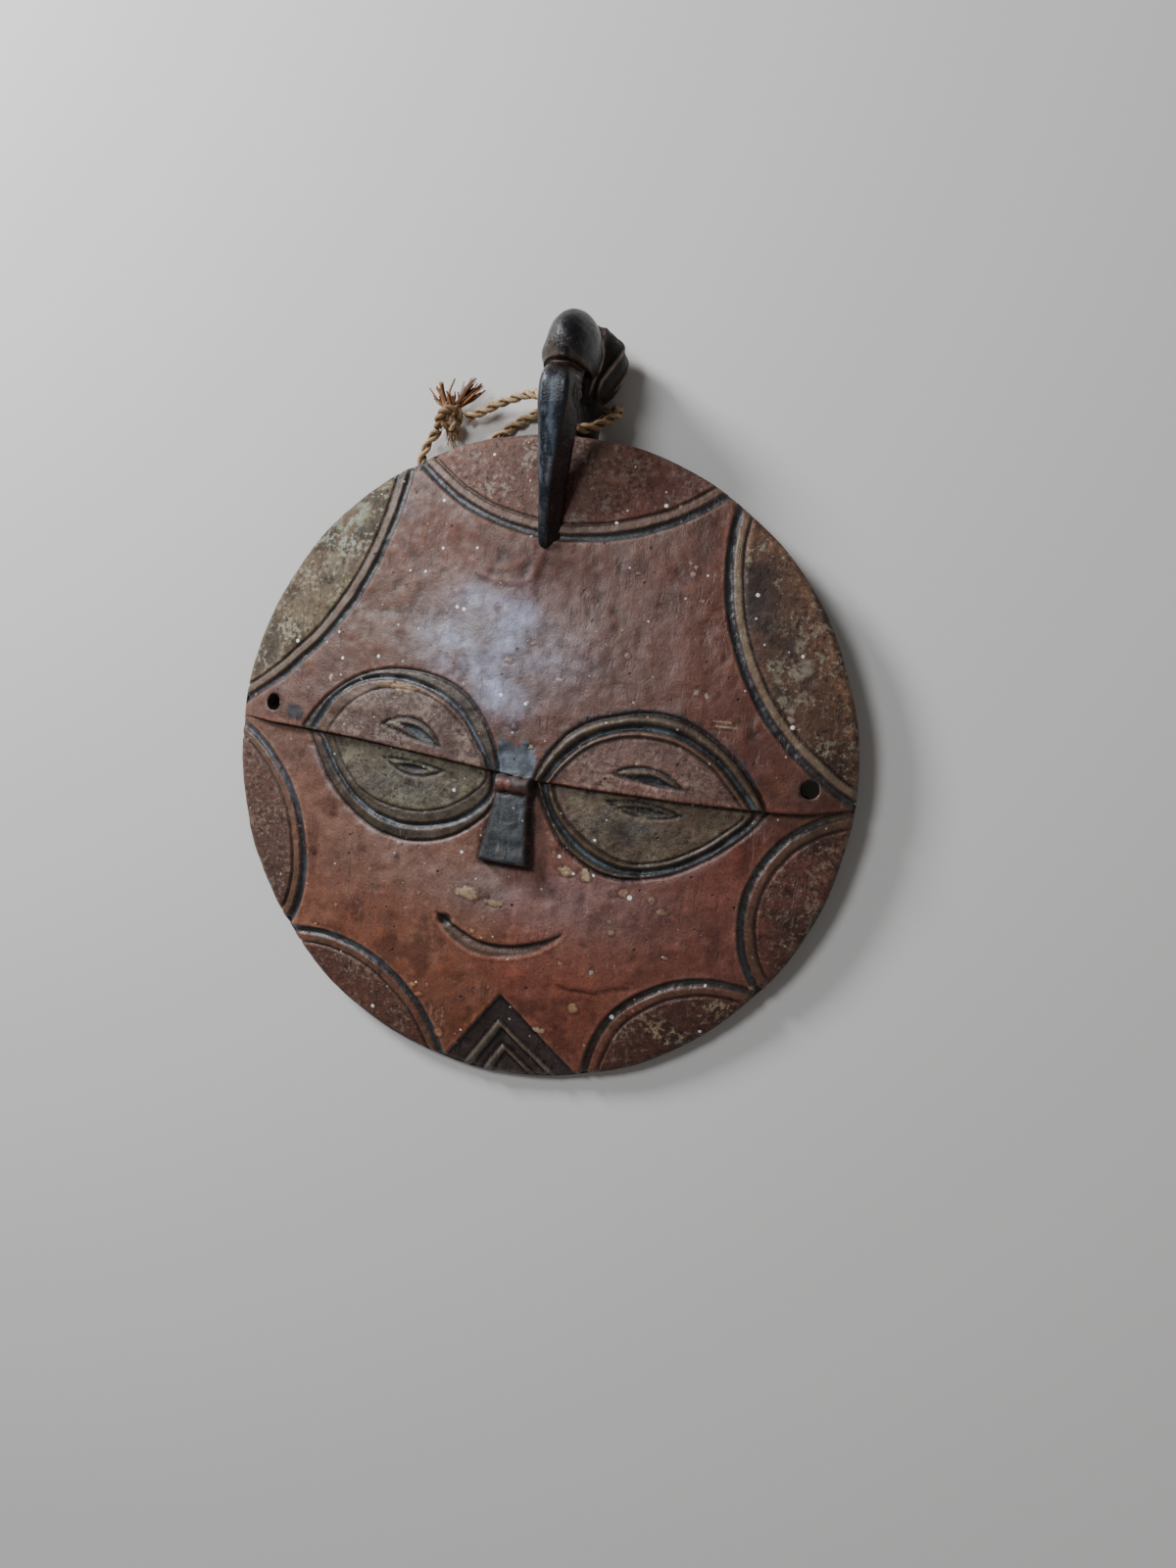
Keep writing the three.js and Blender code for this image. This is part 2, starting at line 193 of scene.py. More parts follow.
def math_node(nt, op, a, b=0.0, clamp=False):
    n = nt.nodes.new("ShaderNodeMath")
    n.operation, n.use_clamp = op, clamp
    for k, v in enumerate((a, b)):
        if isinstance(v, bpy.types.NodeSocket):
            nt.links.new(v, n.inputs[k])
        else:
            n.inputs[k].default_value = v
    return n.outputs[0]


def ramp(nt, x, a, b, lo=0.0, hi=1.0):
    n = nt.nodes.new("ShaderNodeMapRange")
    n.interpolation_type = "SMOOTHSTEP"
    nt.links.new(x, n.inputs["Value"])
    n.inputs["From Min"].default_value, n.inputs["From Max"].default_value = a, b
    n.inputs["To Min"].default_value, n.inputs["To Max"].default_value = lo, hi
    return n.outputs["Result"]


def blend_colour(nt, a, b, t, mode="MIX"):
    n = nt.nodes.new("ShaderNodeMix")
    n.data_type, n.blend_type = "RGBA", mode
    n.clamp_factor = True
    for key, v in (("Factor", t), ("A", a), ("B", b)):
        s = next(i for i in n.inputs if i.name == key and (i.type == "VALUE" if key == "Factor" else i.type == "RGBA"))
        if isinstance(v, bpy.types.NodeSocket):
            nt.links.new(v, s)
        else:
            s.default_value = v if key == "Factor" else (*v, 1)
    return next(o for o in n.outputs if o.type == "RGBA")


def coords(nt):
    return add(nt, "ShaderNodeTexCoord").outputs["Object"]


def tex_noise(nt, vec, scale, detail=4.0, rough=0.55, distortion=0.0):
    return add(nt, "ShaderNodeTexNoise", inputs={"Vector": vec, "Scale": scale, "Detail": detail, "Roughness": rough, "Distortion": distortion})


def specks(nt, vec, scale, radius, share, seed, plane=False):
    """Small separate dots: one in some cells of a cell pattern."""
    shifted = add(nt, "ShaderNodeVectorMath", operation="ADD", inputs={0: vec, 1: (seed * 1.37, seed * 2.11, seed * 0.73)}).outputs[0]
    v = add(nt, "ShaderNodeTexVoronoi", voronoi_dimensions="2D" if plane else "3D", inputs={"Vector": shifted, "Scale": scale, "Randomness": 1.0})
    sep = add(nt, "ShaderNodeSeparateColor", inputs={"Color": v.outputs["Color"]})
    size = math_node(nt, "MULTIPLY", ramp(nt, sep.outputs["Green"], 0, 1, 0.40, 1.0), radius)
    dot = ramp(nt, math_node(nt, "SUBTRACT", size, v.outputs["Distance"]), 0.0, radius * 0.30)
    return math_node(nt, "MULTIPLY", dot, ramp(nt, sep.outputs["Red"], share, share + 0.001, 1.0, 0.0))


def scratches(nt, vec, turn, scale, seed, thin=0.012):
    """Fine short lines that run mostly one way."""
    m = add(nt, "ShaderNodeMapping", inputs={"Vector": vec, "Location": (seed * 0.31, seed * 0.17, 0.0), "Rotation": (0.0, 0.0, math.radians(turn)), "Scale": (scale, scale * 0.09, scale * 0.5)})
    n = tex_noise(nt, m.outputs[0], 1.0, 2.0, 0.5, 0.6).outputs["Fac"]
    off = math_node(nt, "ABSOLUTE", math_node(nt, "SUBTRACT", n, 0.5))
    line = ramp(nt, off, 0.0, thin, 1.0, 0.0)
    gate = tex_noise(nt, add(nt, "ShaderNodeVectorMath", operation="ADD", inputs={0: vec, 1: (seed * 0.9, seed * 0.4, 0.2)}).outputs[0], 55, 2.0, 0.6).outputs["Fac"]
    return math_node(nt, "MULTIPLY", line, ramp(nt, gate, 0.52, 0.66))


def wood_material(name, dusty=1.0, shine=0.50, drops=()):
    mat, nt, bsdf = nodes_of(name)
    vec = coords(nt)
    flat = add(nt, "ShaderNodeVectorMath", operation="MULTIPLY", inputs={0: vec, 1: (1.0, 1.0, 0.02)}).outputs[0]
    tone_n = add(nt, "ShaderNodeAttribute", attribute_name="tone", attribute_type="GEOMETRY")
    rough_n = add(nt, "ShaderNodeAttribute", attribute_name="rough", attribute_type="GEOMETRY")
    field_n = add(nt, "ShaderNodeAttribute", attribute_name="field", attribute_type="GEOMETRY")
    front_n = add(nt, "ShaderNodeAttribute", attribute_name="front", attribute_type="GEOMETRY")
    fleck_n = add(nt, "ShaderNodeAttribute", attribute_name="fleck", attribute_type="GEOMETRY")
    colour = tone_n.outputs["Color"]
    fine = tex_noise(nt, vec, 900, 5, 0.65).outputs["Fac"]
    coarse = tex_noise(nt, vec, 190, 6, 0.65).outputs["Fac"]
    dirt = tex_noise(nt, vec, 60, 7, 0.72, 0.4).outputs["Fac"]
    streak_m = add(nt, "ShaderNodeMapping", inputs={"Vector": vec, "Rotation": (0.0, 0.0, math.radians(-14)), "Scale": (150.0, 22.0, 150.0)})
    grain = tex_noise(nt, streak_m.outputs[0], 1.0, 5, 0.6, 0.3).outputs["Fac"]
    colour = blend_colour(nt, colour, (1.34, 1.27, 1.20), ramp(nt, fine, 0.45, 0.72, 0.0, 0.85), "MULTIPLY")
    colour = blend_colour(nt, colour, (0.60, 0.55, 0.52), ramp(nt, fine, 0.46, 0.30, 0.0, 0.8), "MULTIPLY")
    colour = blend_colour(nt, colour, (0.52, 0.46, 0.43), ramp(nt, coarse, 0.52, 0.70, 0.0, 0.42), "MULTIPLY")
    colour = blend_colour(nt, colour, (1.30, 1.26, 1.22), ramp(nt, dirt, 0.53, 0.70, 0.0, 0.35), "MULTIPLY")
    colour = blend_colour(nt, colour, (0.66, 0.60, 0.57), ramp(nt, grain, 0.50, 0.68, 0.0, 0.08), "MULTIPLY")
    # crusty pale and dark flecks of the rough fields
    crust = tex_noise(nt, vec, 440, 5, 0.74).outputs["Fac"]
    patch = tex_noise(nt, vec, 75, 3, 0.6).outputs["Fac"]
    crusty = math_node(nt, "ADD", crust, ramp(nt, patch, 0.3, 0.7, -0.07, 0.07))
    pale = math_node(nt, "MULTIPLY", ramp(nt, crusty, 0.555, 0.61), field_n.outputs["Fac"])
    colour = blend_colour(nt, colour, fleck_n.outputs["Color"], math_node(nt, "MULTIPLY", pale, 0.85))
    sunk = math_node(nt, "MULTIPLY", ramp(nt, crust, 0.455, 0.38), field_n.outputs["Fac"])
    colour = blend_colour(nt, colour, (0.014, 0.010, 0.008), math_node(nt, "MULTIPLY", sunk, 0.8))
    # fine lines, dots of paint, pits
    lines = math_node(nt, "MAXIMUM", scratches(nt, vec, 38, 260, 3), scratches(nt, vec, -24, 230, 7))
    colour = blend_colour(nt, colour, (0.26, 0.19, 0.165), math_node(nt, "MULTIPLY", lines, 0.5 * dusty))
    dark_lines = math_node(nt, "MAXIMUM", scratches(nt, vec, 8, 200, 13, 0.016), scratches(nt, vec, 76, 240, 17, 0.014))
    colour = blend_colour(nt, colour, (0.024, 0.012, 0.009), math_node(nt, "MULTIPLY", dark_lines, 0.3))
    on = front_n.outputs["Fac"]
    white = math_node(nt, "MULTIPLY", specks(nt, flat, 88, 0.098, 0.050, 1, True), on)
    white2 = math_node(nt, "MULTIPLY", specks(nt, flat, 190, 0.115, 0.045, 2, True), on)
    tan = math_node(nt, "MULTIPLY", specks(nt, flat, 120, 0.12, 0.07, 3, True), on)
    pits = specks(nt, vec, 190, 0.17, 0.26, 4)
    colour = blend_colour(nt, colour, (0.30, 0.185, 0.12), math_node(nt, "MULTIPLY", tan, 0.7))
    colour = blend_colour(nt, colour, (0.014, 0.008, 0.007), math_node(nt, "MULTIPLY", pits, 0.85))
    colour = blend_colour(nt, colour, (0.60, 0.56, 0.50), math_node(nt, "MULTIPLY", white2, 0.85))
    colour = blend_colour(nt, colour, (0.88, 0.87, 0.84), white)
    for where, radius in drops:
        away = add(nt, "ShaderNodeVectorMath", operation="DISTANCE", inputs={0: vec, 1: where}).outputs["Value"]
        drop = ramp(nt, away, radius * 0.85, radius * 1.1, 1.0, 0.0)
        white = math_node(nt, "MAXIMUM", white, drop)
        colour = blend_colour(nt, colour, (0.95, 0.945, 0.92), drop)
    nt.links.new(colour, bsdf.inputs["Base Color"])
    r = math_node(nt, "ADD", rough_n.outputs["Fac"], ramp(nt, coarse, 0.3, 0.7, -0.10, 0.12))
    r = math_node(nt, "ADD", r, ramp(nt, fine, 0.3, 0.7, -0.05, 0.07), True)
    nt.links.new(r, bsdf.inputs["Roughness"])
    bsdf.inputs["Specular IOR Level"].default_value = shine
    h = math_node(nt, "MULTIPLY", fine, 0.35)
    h = math_node(nt, "ADD", h, math_node(nt, "MULTIPLY", coarse, 1.0))
    h = math_node(nt, "SUBTRACT", h, math_node(nt, "MULTIPLY", grain, 0.18))
    h = math_node(nt, "ADD", h, math_node(nt, "MULTIPLY", math_node(nt, "MULTIPLY", crust, field_n.outputs["Fac"]), 1.3))
    h = math_node(nt, "SUBTRACT", h, math_node(nt, "MULTIPLY", pits, 1.0))
    h = math_node(nt, "SUBTRACT", h, math_node(nt, "MULTIPLY", dark_lines, 0.25))
    h = math_node(nt, "ADD", h, math_node(nt, "MULTIPLY", math_node(nt, "MAXIMUM", white, tan), 0.5))
    bump = add(nt, "ShaderNodeBump", inputs={"Height": h, "Strength": 0.85, "Distance": 0.0006})
    nt.links.new(bump.outputs["Normal"], bsdf.inputs["Normal"])
    return mat


# ---------------------------------------------------------------- the cord: two twisted strands along the loop
ROUTE = [
    (-58.6, 160.4, 4.6), (-50.2, 163.2, 6.6), (-41.6, 166.2, 10), (-33.2, 168.5, 12.8), (-25.6, 169.6, 16), (-18.6, 168.6, 19.8), (-12.6, 164, 23), (-7, 158.6, 24.8),
    (0, 154.4, 25.4), (7, 152.9, 24.9), (13, 155.8, 21.8), (17.2, 160.8, 16.8), (18.4, 165.4, 11), (15.6, 167.8, 5.8), (9, 167.6, 3), (0, 167, 2.5),
    (-9, 167.2, 2.5), (-17, 167, 2.5), (-24, 165.2, 2.6), (-31.5, 161, 2.6), (-39, 155.3, 2.6), (-46.4, 149, 2.7), (-52.6, 142.2, 3), (-57.2, 135.2, 3.4),
    (-61.8, 128.8, 4), (-67.8, 125.2, 4.6), (-74, 126.6, 4.9), (-77.6, 131.8, 5), (-78.4, 138, 4.9), (-77.4, 144, 4.8), (-74.8, 149.4, 4.9), (-71.4, 153, 5.2),
]


def centripetal(points, per=24):
    """The smooth line through points: a centripetal Catmull-Rom curve."""
    p = np.array(points, float)
    p = np.r_[[2 * p[0] - p[1]], p, [2 * p[-1] - p[-2]]]
    out = []
    for i in range(1, len(p) - 2):
        t0, t1, t2 = (np.linalg.norm(p[i + k] - p[i + k - 1]) ** 0.5 for k in (0, 1, 2))
        a, b, c, d = p[i - 1], p[i], p[i + 1], p[i + 2]
        ma = ((b - a) / t0 - (c - a) / (t0 + t1) + (c - b) / t1) * t1
        mb = ((c - b) / t1 - (d - b) / (t1 + t2) + (d - c) / t2) * t1
        for s in np.arange(per) / per:
            out.append(b * (2 * s**3 - 3 * s**2 + 1) + ma * (s**3 - 2 * s**2 + s) + c * (-2 * s**3 + 3 * s**2) + mb * (s**3 - s**2))
    out.append(p[-2])
    return np.array(out)


def evenly(line, step):
    line = np.asarray(line, float)
    s = np.r_[0, np.cumsum(np.linalg.norm(np.diff(line, axis=0), axis=1))]
    n = max(2, int(round(s[-1] / step)))
    at = np.linspace(0, s[-1], n + 1)
    return np.stack([np.interp(at, s, line[:, k]) for k in range(3)], 1), s[-1]


def frames(line):
    """Tangent, normal and binormal that don't spin along the line."""
    t = np.gradient(line, axis=0)
    t /= np.linalg.norm(t, axis=1)[:, None]
    n = np.zeros_like(t)
    first = np.cross(t[0], (0, 0, 1.0))
    n[0] = first / np.linalg.norm(first)
    for i in range(1, len(t)):
        v = n[i - 1] - t[i] * (n[i - 1] @ t[i])
        n[i] = v / np.linalg.norm(v)
    return t, n, np.cross(t, n)


def tube(line, radius, sides=14, ridge=0.0, count=0, twist=0.0, seed=0, caps=True):
    """A closed tube; radius is a number or one per point, with fibre ridges that wind along it."""
    t, n, b = frames(line)
    r = np.broadcast_to(np.asarray(radius, float), (len(line),))
    s = np.r_[0, np.cumsum(np.linalg.norm(np.diff(line, axis=0), axis=1))]
    q = np.arange(sides) * 2 * np.pi / sides
    Q, S = np.meshgrid(q, s)
    wob = np.zeros_like(Q)
    if ridge:
        base_p = np.c_[(np.cos(Q + twist * S) * 1.3).ravel(), (np.sin(Q + twist * S) * 1.3).ravel(), (S * 0.10).ravel() + seed * 13.7]
        wob = ridge * (noise(base_p, 0.55, 5).reshape(Q.shape) + 0.6 * noise(base_p, (1.3, 1.3, 0.5), 6).reshape(Q.shape))
    rr = r[:, None] * (1 + wob)
    p = line[:, None, :] + rr[..., None] * (np.cos(Q)[..., None] * n[:, None, :] + np.sin(Q)[..., None] * b[:, None, :])
    k = len(line)
    tri = []
    j = np.arange(sides)
    for i in range(k - 1):
        a, c = i * sides + j, i * sides + (j + 1) % sides
        tri += [np.c_[a, c, c + sides], np.c_[a, c + sides, a + sides]]
    p = p.reshape(-1, 3)
    shade = wob.ravel()
    if caps:
        tri += [np.c_[np.full(sides, k * sides), (j + 1) % sides, j], np.c_[np.full(sides, k * sides + 1), (k - 1) * sides + j, (k - 1) * sides + (j + 1) % sides]]
        p = np.concatenate([p, [line[0], line[-1]]])
        shade = np.r_[shade, 0, 0]
    return p, np.concatenate(tri), shade, np.r_[np.repeat(s, sides), [0, s[-1]] if caps else []]


def twisted(line, offset, radius, pitch, sides=14, ends=(1.0, 1.0), seed=0):
    """Two strands wound round a line."""
    t, n, b = frames(line)
    s = np.r_[0, np.cumsum(np.linalg.norm(np.diff(line, axis=0), axis=1))]
    out = []
    swell = 1 + 0.10 * noise(np.c_[s, 0 * s, 0 * s + seed], 11, 8) + 0.05 * noise(np.c_[s, 0 * s, 0 * s + seed], 3, 9)
    for k in (0, 1):
        phase = 2 * np.pi * s / pitch + np.pi * k + 0.35 * noise(np.c_[s, 0 * s, 0 * s + 3 + seed], 14, 10)
        path = line + offset * (np.cos(phase)[:, None] * n + np.sin(phase)[:, None] * b)
        part = tube(path, radius * swell, sides, 0.10, 9, -0.75, seed + k)
        core = np.repeat(line, sides, 0)
        far = np.sqrt(((part[0][:len(core)] - core) ** 2).sum(1))
        # painted shade where each strand turns in towards the other and the core
        deep = 1 - smooth(far / (offset + radius), 0.42, 0.86)
        part[2][:len(core)] -= 0.16 * deep
        out.append(part)
    return out


def gather(parts):
    p, t, shade, s, base = [], [], [], [], 0
    for q in parts:
        p.append(q[0])
        t.append(q[1] + base)
        shade.append(q[2])
        s.append(q[3])
        base += len(q[0])
    return np.concatenate(p), np.concatenate(t), np.concatenate(shade), np.concatenate(s)


def laid(p):
    """Points of the laid frame before centring, mm, to the row frame in metres."""
    return (np.asarray(p, float) - [0, CENTRE_Y, 0]) / 1000


def fibre_material(name):
    mat, nt, bsdf = nodes_of(name)
    vec = coords(nt)
    tone_n = add(nt, "ShaderNodeAttribute", attribute_name="tone", attribute_type="GEOMETRY")
    fine = tex_noise(nt, vec, 1500, 4, 0.6).outputs["Fac"]
    patchy = tex_noise(nt, vec, 130, 4, 0.6).outputs["Fac"]
    colour = blend_colour(nt, tone_n.outputs["Color"], (1.35, 1.28, 1.15), ramp(nt, fine, 0.5, 0.72, 0, 0.9), "MULTIPLY")
    colour = blend_colour(nt, colour, (0.58, 0.48, 0.38), ramp(nt, fine, 0.48, 0.30, 0, 0.8), "MULTIPLY")
    colour = blend_colour(nt, colour, (0.66, 0.56, 0.46), ramp(nt, patchy, 0.52, 0.70, 0, 0.7), "MULTIPLY")
    nt.links.new(colour, bsdf.inputs["Base Color"])
    nt.links.new(ramp(nt, patchy, 0.3, 0.7, 0.78, 0.92), bsdf.inputs["Roughness"])
    bsdf.inputs["Specular IOR Level"].default_value = 0.3
    bump = add(nt, "ShaderNodeBump", inputs={"Height": fine, "Strength": 0.5, "Distance": 0.0002})
    nt.links.new(bump.outputs["Normal"], bsdf.inputs["Normal"])
    return mat


def strand_tone(p, shade, base=(0.53, 0.365, 0.20)):
    q = np.asarray(p)
    n1, n2 = fbm(q, 9, 3, 181), fbm(q, 2.2, 3, 182)
    c = np.tile(np.array(base, float), (len(q), 1))
    c = mix(c, (0.58, 0.44, 0.28), 0.7 * smooth(n1 + n2 * 0.5, 0.0, 1.0))
    c = mix(c, (0.20, 0.120, 0.065), 0.7 * smooth(-n1 - 0.4 * n2, 0.0, 0.9))
    # painted light and shade: lighter on raised fibres, darker in their dips and between the strands
    c = c * (1 + 3.6 * np.clip(shade, -0.235, 0.10))[:, None]
    return c


cord_line, CORD_LENGTH = evenly(centripetal(ROUTE), 0.5)
strands = twisted(cord_line, 1.22, 1.20, 14.0, 16, seed=2)
cp, ct, cs, c_at = gather(strands)
cord = mesh_object("cord_rope", laid(cp), ct)
paint(cord, strand_tone(cp, cs))
fibre = fibre_material("twisted_fibre")
cord.data.materials.append(fibre)
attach(cord, "root")
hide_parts("cord_loop")

# the knot: the same cord through itself
KNOT = np.array([-66.4, 157.2, 6.3])
q = np.linspace(0, 2 * np.pi, 220)
trefoil = np.c_[np.sin(q) + 2 * np.sin(2 * q), np.cos(q) - 2 * np.cos(2 * q), -1.15 * np.sin(3 * q)]
turn_a = math.radians(24)
knot_line = np.c_[trefoil[:, 0] * math.cos(turn_a) - trefoil[:, 1] * math.sin(turn_a), trefoil[:, 0] * math.sin(turn_a) + trefoil[:, 1] * math.cos(turn_a), trefoil[:, 2]] * [1.62, 1.58, 2.0] + KNOT
knot_parts = twisted(knot_line, 1.0, 1.15, 9.0, 12, seed=5)
# a short turn of cord over the top of the knot and the two ends that come out of it
wrap = curve([(-71.6, 153.6, 7.5), (-70, 158, 11.2), (-66.6, 161.4, 11.6), (-62.8, 162.4, 8.6), (-61, 160.6, 5.0)], 0.6)
knot_parts += twisted(wrap, 0.9, 1.15, 8.0, 12, seed=9)
for a, b, c3 in (((-66.0, 157.6, 8.6), (-67.2, 162.0, 9.6), (-68.8, 165.4, 8.8)), ((-65.0, 157.6, 8.0), (-63.6, 162.4, 8.8), (-62.0, 166.0, 8.6))):
    knot_parts += twisted(curve([a, b, c3], 0.5), 0.75, 1.0, 8.0, 10, seed=int(abs(a[0]) * 7))
kp, kt, ks, k_at = gather(knot_parts)
knot = mesh_object("cord_knot_turns", laid(kp), kt)
kc = strand_tone(kp, ks, (0.36, 0.225, 0.125))
kc = mix(kc, (0.16, 0.075, 0.035), 0.8 * smooth(kp[:, 1], 161.5, 165.5))
paint(knot, kc)
knot.data.materials.append(fibre)
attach(knot, "root")
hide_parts("cord_knot")

# frayed ends: two fans of loose, dark fibres, loose yarns under the knot, and stray hairs along the cord
rnd = np.random.default_rng(77)
hairs, tones = [], []


def hair(points, radius, tone, sides=4, flat=1.0):
    line, _ = evenly(curve(points, 0.8), 0.9)
    if len(line) < 3:
        return
    taper = radius * np.linspace(1.0, 0.35 if flat == 1 else 0.62, len(line))
    h = tube(line, taper, sides)
    if flat < 1:
        t, n, b = frames(line)
        core, up = np.repeat(line, sides, 0), np.repeat(b, sides, 0)
        k = len(core)
        h[0][:k] -= up * ((h[0][:k] - core) * up).sum(1)[:, None] * (1 - flat)
    hairs.append(h)
    tones.append(np.tile(tone, (len(h[0]), 1)) * rnd.uniform(0.75, 1.25))


def fan(root, tip, width, count, curl, tone_set):
    root, tip = np.array(root), np.array(tip)
    axis = tip - root
    long = np.linalg.norm(axis)
    axis = axis / long
    side = np.cross(axis, (0, 0, 1.0))
    side /= np.linalg.norm(side)
    lift = np.cross(side, axis)
    for _ in range(count):
        a, d = rnd.uniform(-1, 1), rnd.uniform(-0.8, 0.8)
        l = long * rnd.uniform(0.62, 1.12)
        start = root + side * a * 0.9 + lift * d * 0.8
        spread = side * a * width + lift * d * width * 0.5
        bend = side * rnd.normal(0, curl) + lift * rnd.normal(0, curl * 0.7)
        mid_p = start + axis * l * 0.5 + spread * 0.42 + bend * 0.6
        end = start + axis * l + spread + bend * rnd.uniform(-0.6, 1.8)
        tone = np.array(tone_set[rnd.integers(len(tone_set))])
        hair([start, mid_p, end], rnd.uniform(0.30, 0.80), tone, 8, 0.35)


DARK_FIBRE = [(0.11, 0.045, 0.02), (0.16, 0.065, 0.026), (0.085, 0.035, 0.018), (0.24, 0.105, 0.038), (0.19, 0.10, 0.05), (0.34, 0.14, 0.05)]
fan((-68.4, 163.2, 8.8), (-74.8, 173.6, 7.6), 2.6, 22, 1.1, DARK_FIBRE)
fan((-62.6, 164.2, 8.6), (-54.8, 176.4, 7.8), 3.6, 34, 1.3, DARK_FIBRE)
fan((-64.6, 163.4, 9.4), (-65.6, 171.0, 9.2), 2.2, 12, 0.9, DARK_FIBRE)
PALE = [(0.44, 0.32, 0.19), (0.28, 0.18, 0.10), (0.42, 0.31, 0.18), (0.24, 0.15, 0.08)]
for k in range(22):
    x = rnd.uniform(-67.5, -61.5)
    hair([(x, 153.5, 6 + rnd.uniform(-1.5, 1.5)), (x + rnd.normal(0.4, 0.6), 149.6, 5.0 + rnd.uniform(-1.2, 1.2)), (x + rnd.normal(0.9, 1.0), 146.0 + rnd.uniform(-1.5, 1.5), 4.6 + rnd.uniform(-1, 1))], rnd.uniform(0.2, 0.42), np.array(PALE[rnd.integers(4)]), 5)
tt, nn_, bb = frames(cord_line)
for k in range(150):
    i = rnd.integers(6, len(cord_line) - 12)
    a = rnd.uniform(0, 2 * np.pi)
    out_d = math.cos(a) * nn_[i] + math.sin(a) * bb[i]
    if (cord_line[i] + out_d * 3)[2] < 0.6:
        continue
    l = rnd.uniform(2.5, 6.5)
    start = cord_line[i] + out_d * 1.9
    hair([start, start + tt[i] * l * 0.5 + out_d * rnd.uniform(0.3, 0.8), start + tt[i] * l + out_d * rnd.uniform(0.4, 2.2) + rnd.normal(0, 0.4, 3)], rnd.uniform(0.07, 0.12), np.array(PALE[rnd.integers(4)]), 3)
for k in range(60):
    d3 = rnd.normal(0, 1, 3)
    d3 /= np.linalg.norm(d3)
    d3[2] = abs(d3[2]) * 0.6
    start = KNOT + d3 * [6.4, 6.2, 5.0]
    hair([start - d3 * 1.2, start + d3 * 1.0 + rnd.normal(0, 0.6, 3), start + d3 * 2.0 + rnd.normal(0, 1.4, 3)], rnd.uniform(0.08, 0.15), np.array(PALE[rnd.integers(4)]), 3)
hp, ht, hs, h_at = gather(hairs)
hp[:, 2] = np.maximum(hp[:, 2], 0.3)
frays = mesh_object("cord_frayed_ends", laid(hp), ht)
paint(frays, np.concatenate(tones))
frays.data.materials.append(fibre)
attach(frays, "root")
print("scene: cord", CORD_LENGTH, len(cp), len(kp), len(hp))


# ---------------------------------------------------------------- lines of the carving
def circle_of(a, b, sag):
    """Centre and radius of the arc from a to b that stands off its chord by sag, to the left of a -> b when positive."""
    a, b = np.array(a, float), np.array(b, float)
    chord, side, s = np.linalg.norm(b - a), np.sign(sag), abs(sag)
    radius = (chord**2 / 4 + s**2) / (2 * s)
    t = (b - a) / chord
    n = np.array([-t[1], t[0]]) * side
    return (a + b) / 2 + n * (s - radius), radius


def inside(p, circle):
    c, radius = circle
    return radius - np.hypot(p[:, 0] - c[0], p[:, 1] - c[1])


def almond(p, a, b, up, down, soften=0.0):
    """Signed distance inside an almond with corners a and b."""
    x, y = inside(p, circle_of(a, b, up)), inside(p, circle_of(a, b, -down))
    if soften:
        return -soften * np.log(np.exp(-x / soften) + np.exp(-y / soften))
    return np.minimum(x, y)


def along(p, line):
    """Distance to a polyline, signed positive on its left, and how far along it, 0 to 1, the nearest point is."""
    line = np.array(line, float)
    seg = np.linalg.norm(np.diff(line, axis=0), axis=1)
    start = np.r_[0, np.cumsum(seg)]
    best, sign, t_best = np.full(len(p), 1e9), np.ones(len(p)), np.zeros(len(p))
    for k in range(len(line) - 1):
        d = line[k + 1] - line[k]
        rel = p[:, :2] - line[k]
        t = np.clip((rel @ d) / (d @ d), 0, 1)
        off = rel - t[:, None] * d
        dist = np.hypot(off[:, 0], off[:, 1])
        better = dist < best
        best[better] = dist[better]
        sign[better] = np.where(d[0] * rel[better, 1] - d[1] * rel[better, 0] >= 0, 1, -1)
        t_best[better] = (start[k] + t[better] * seg[k]) / start[-1]
    return best * sign, t_best


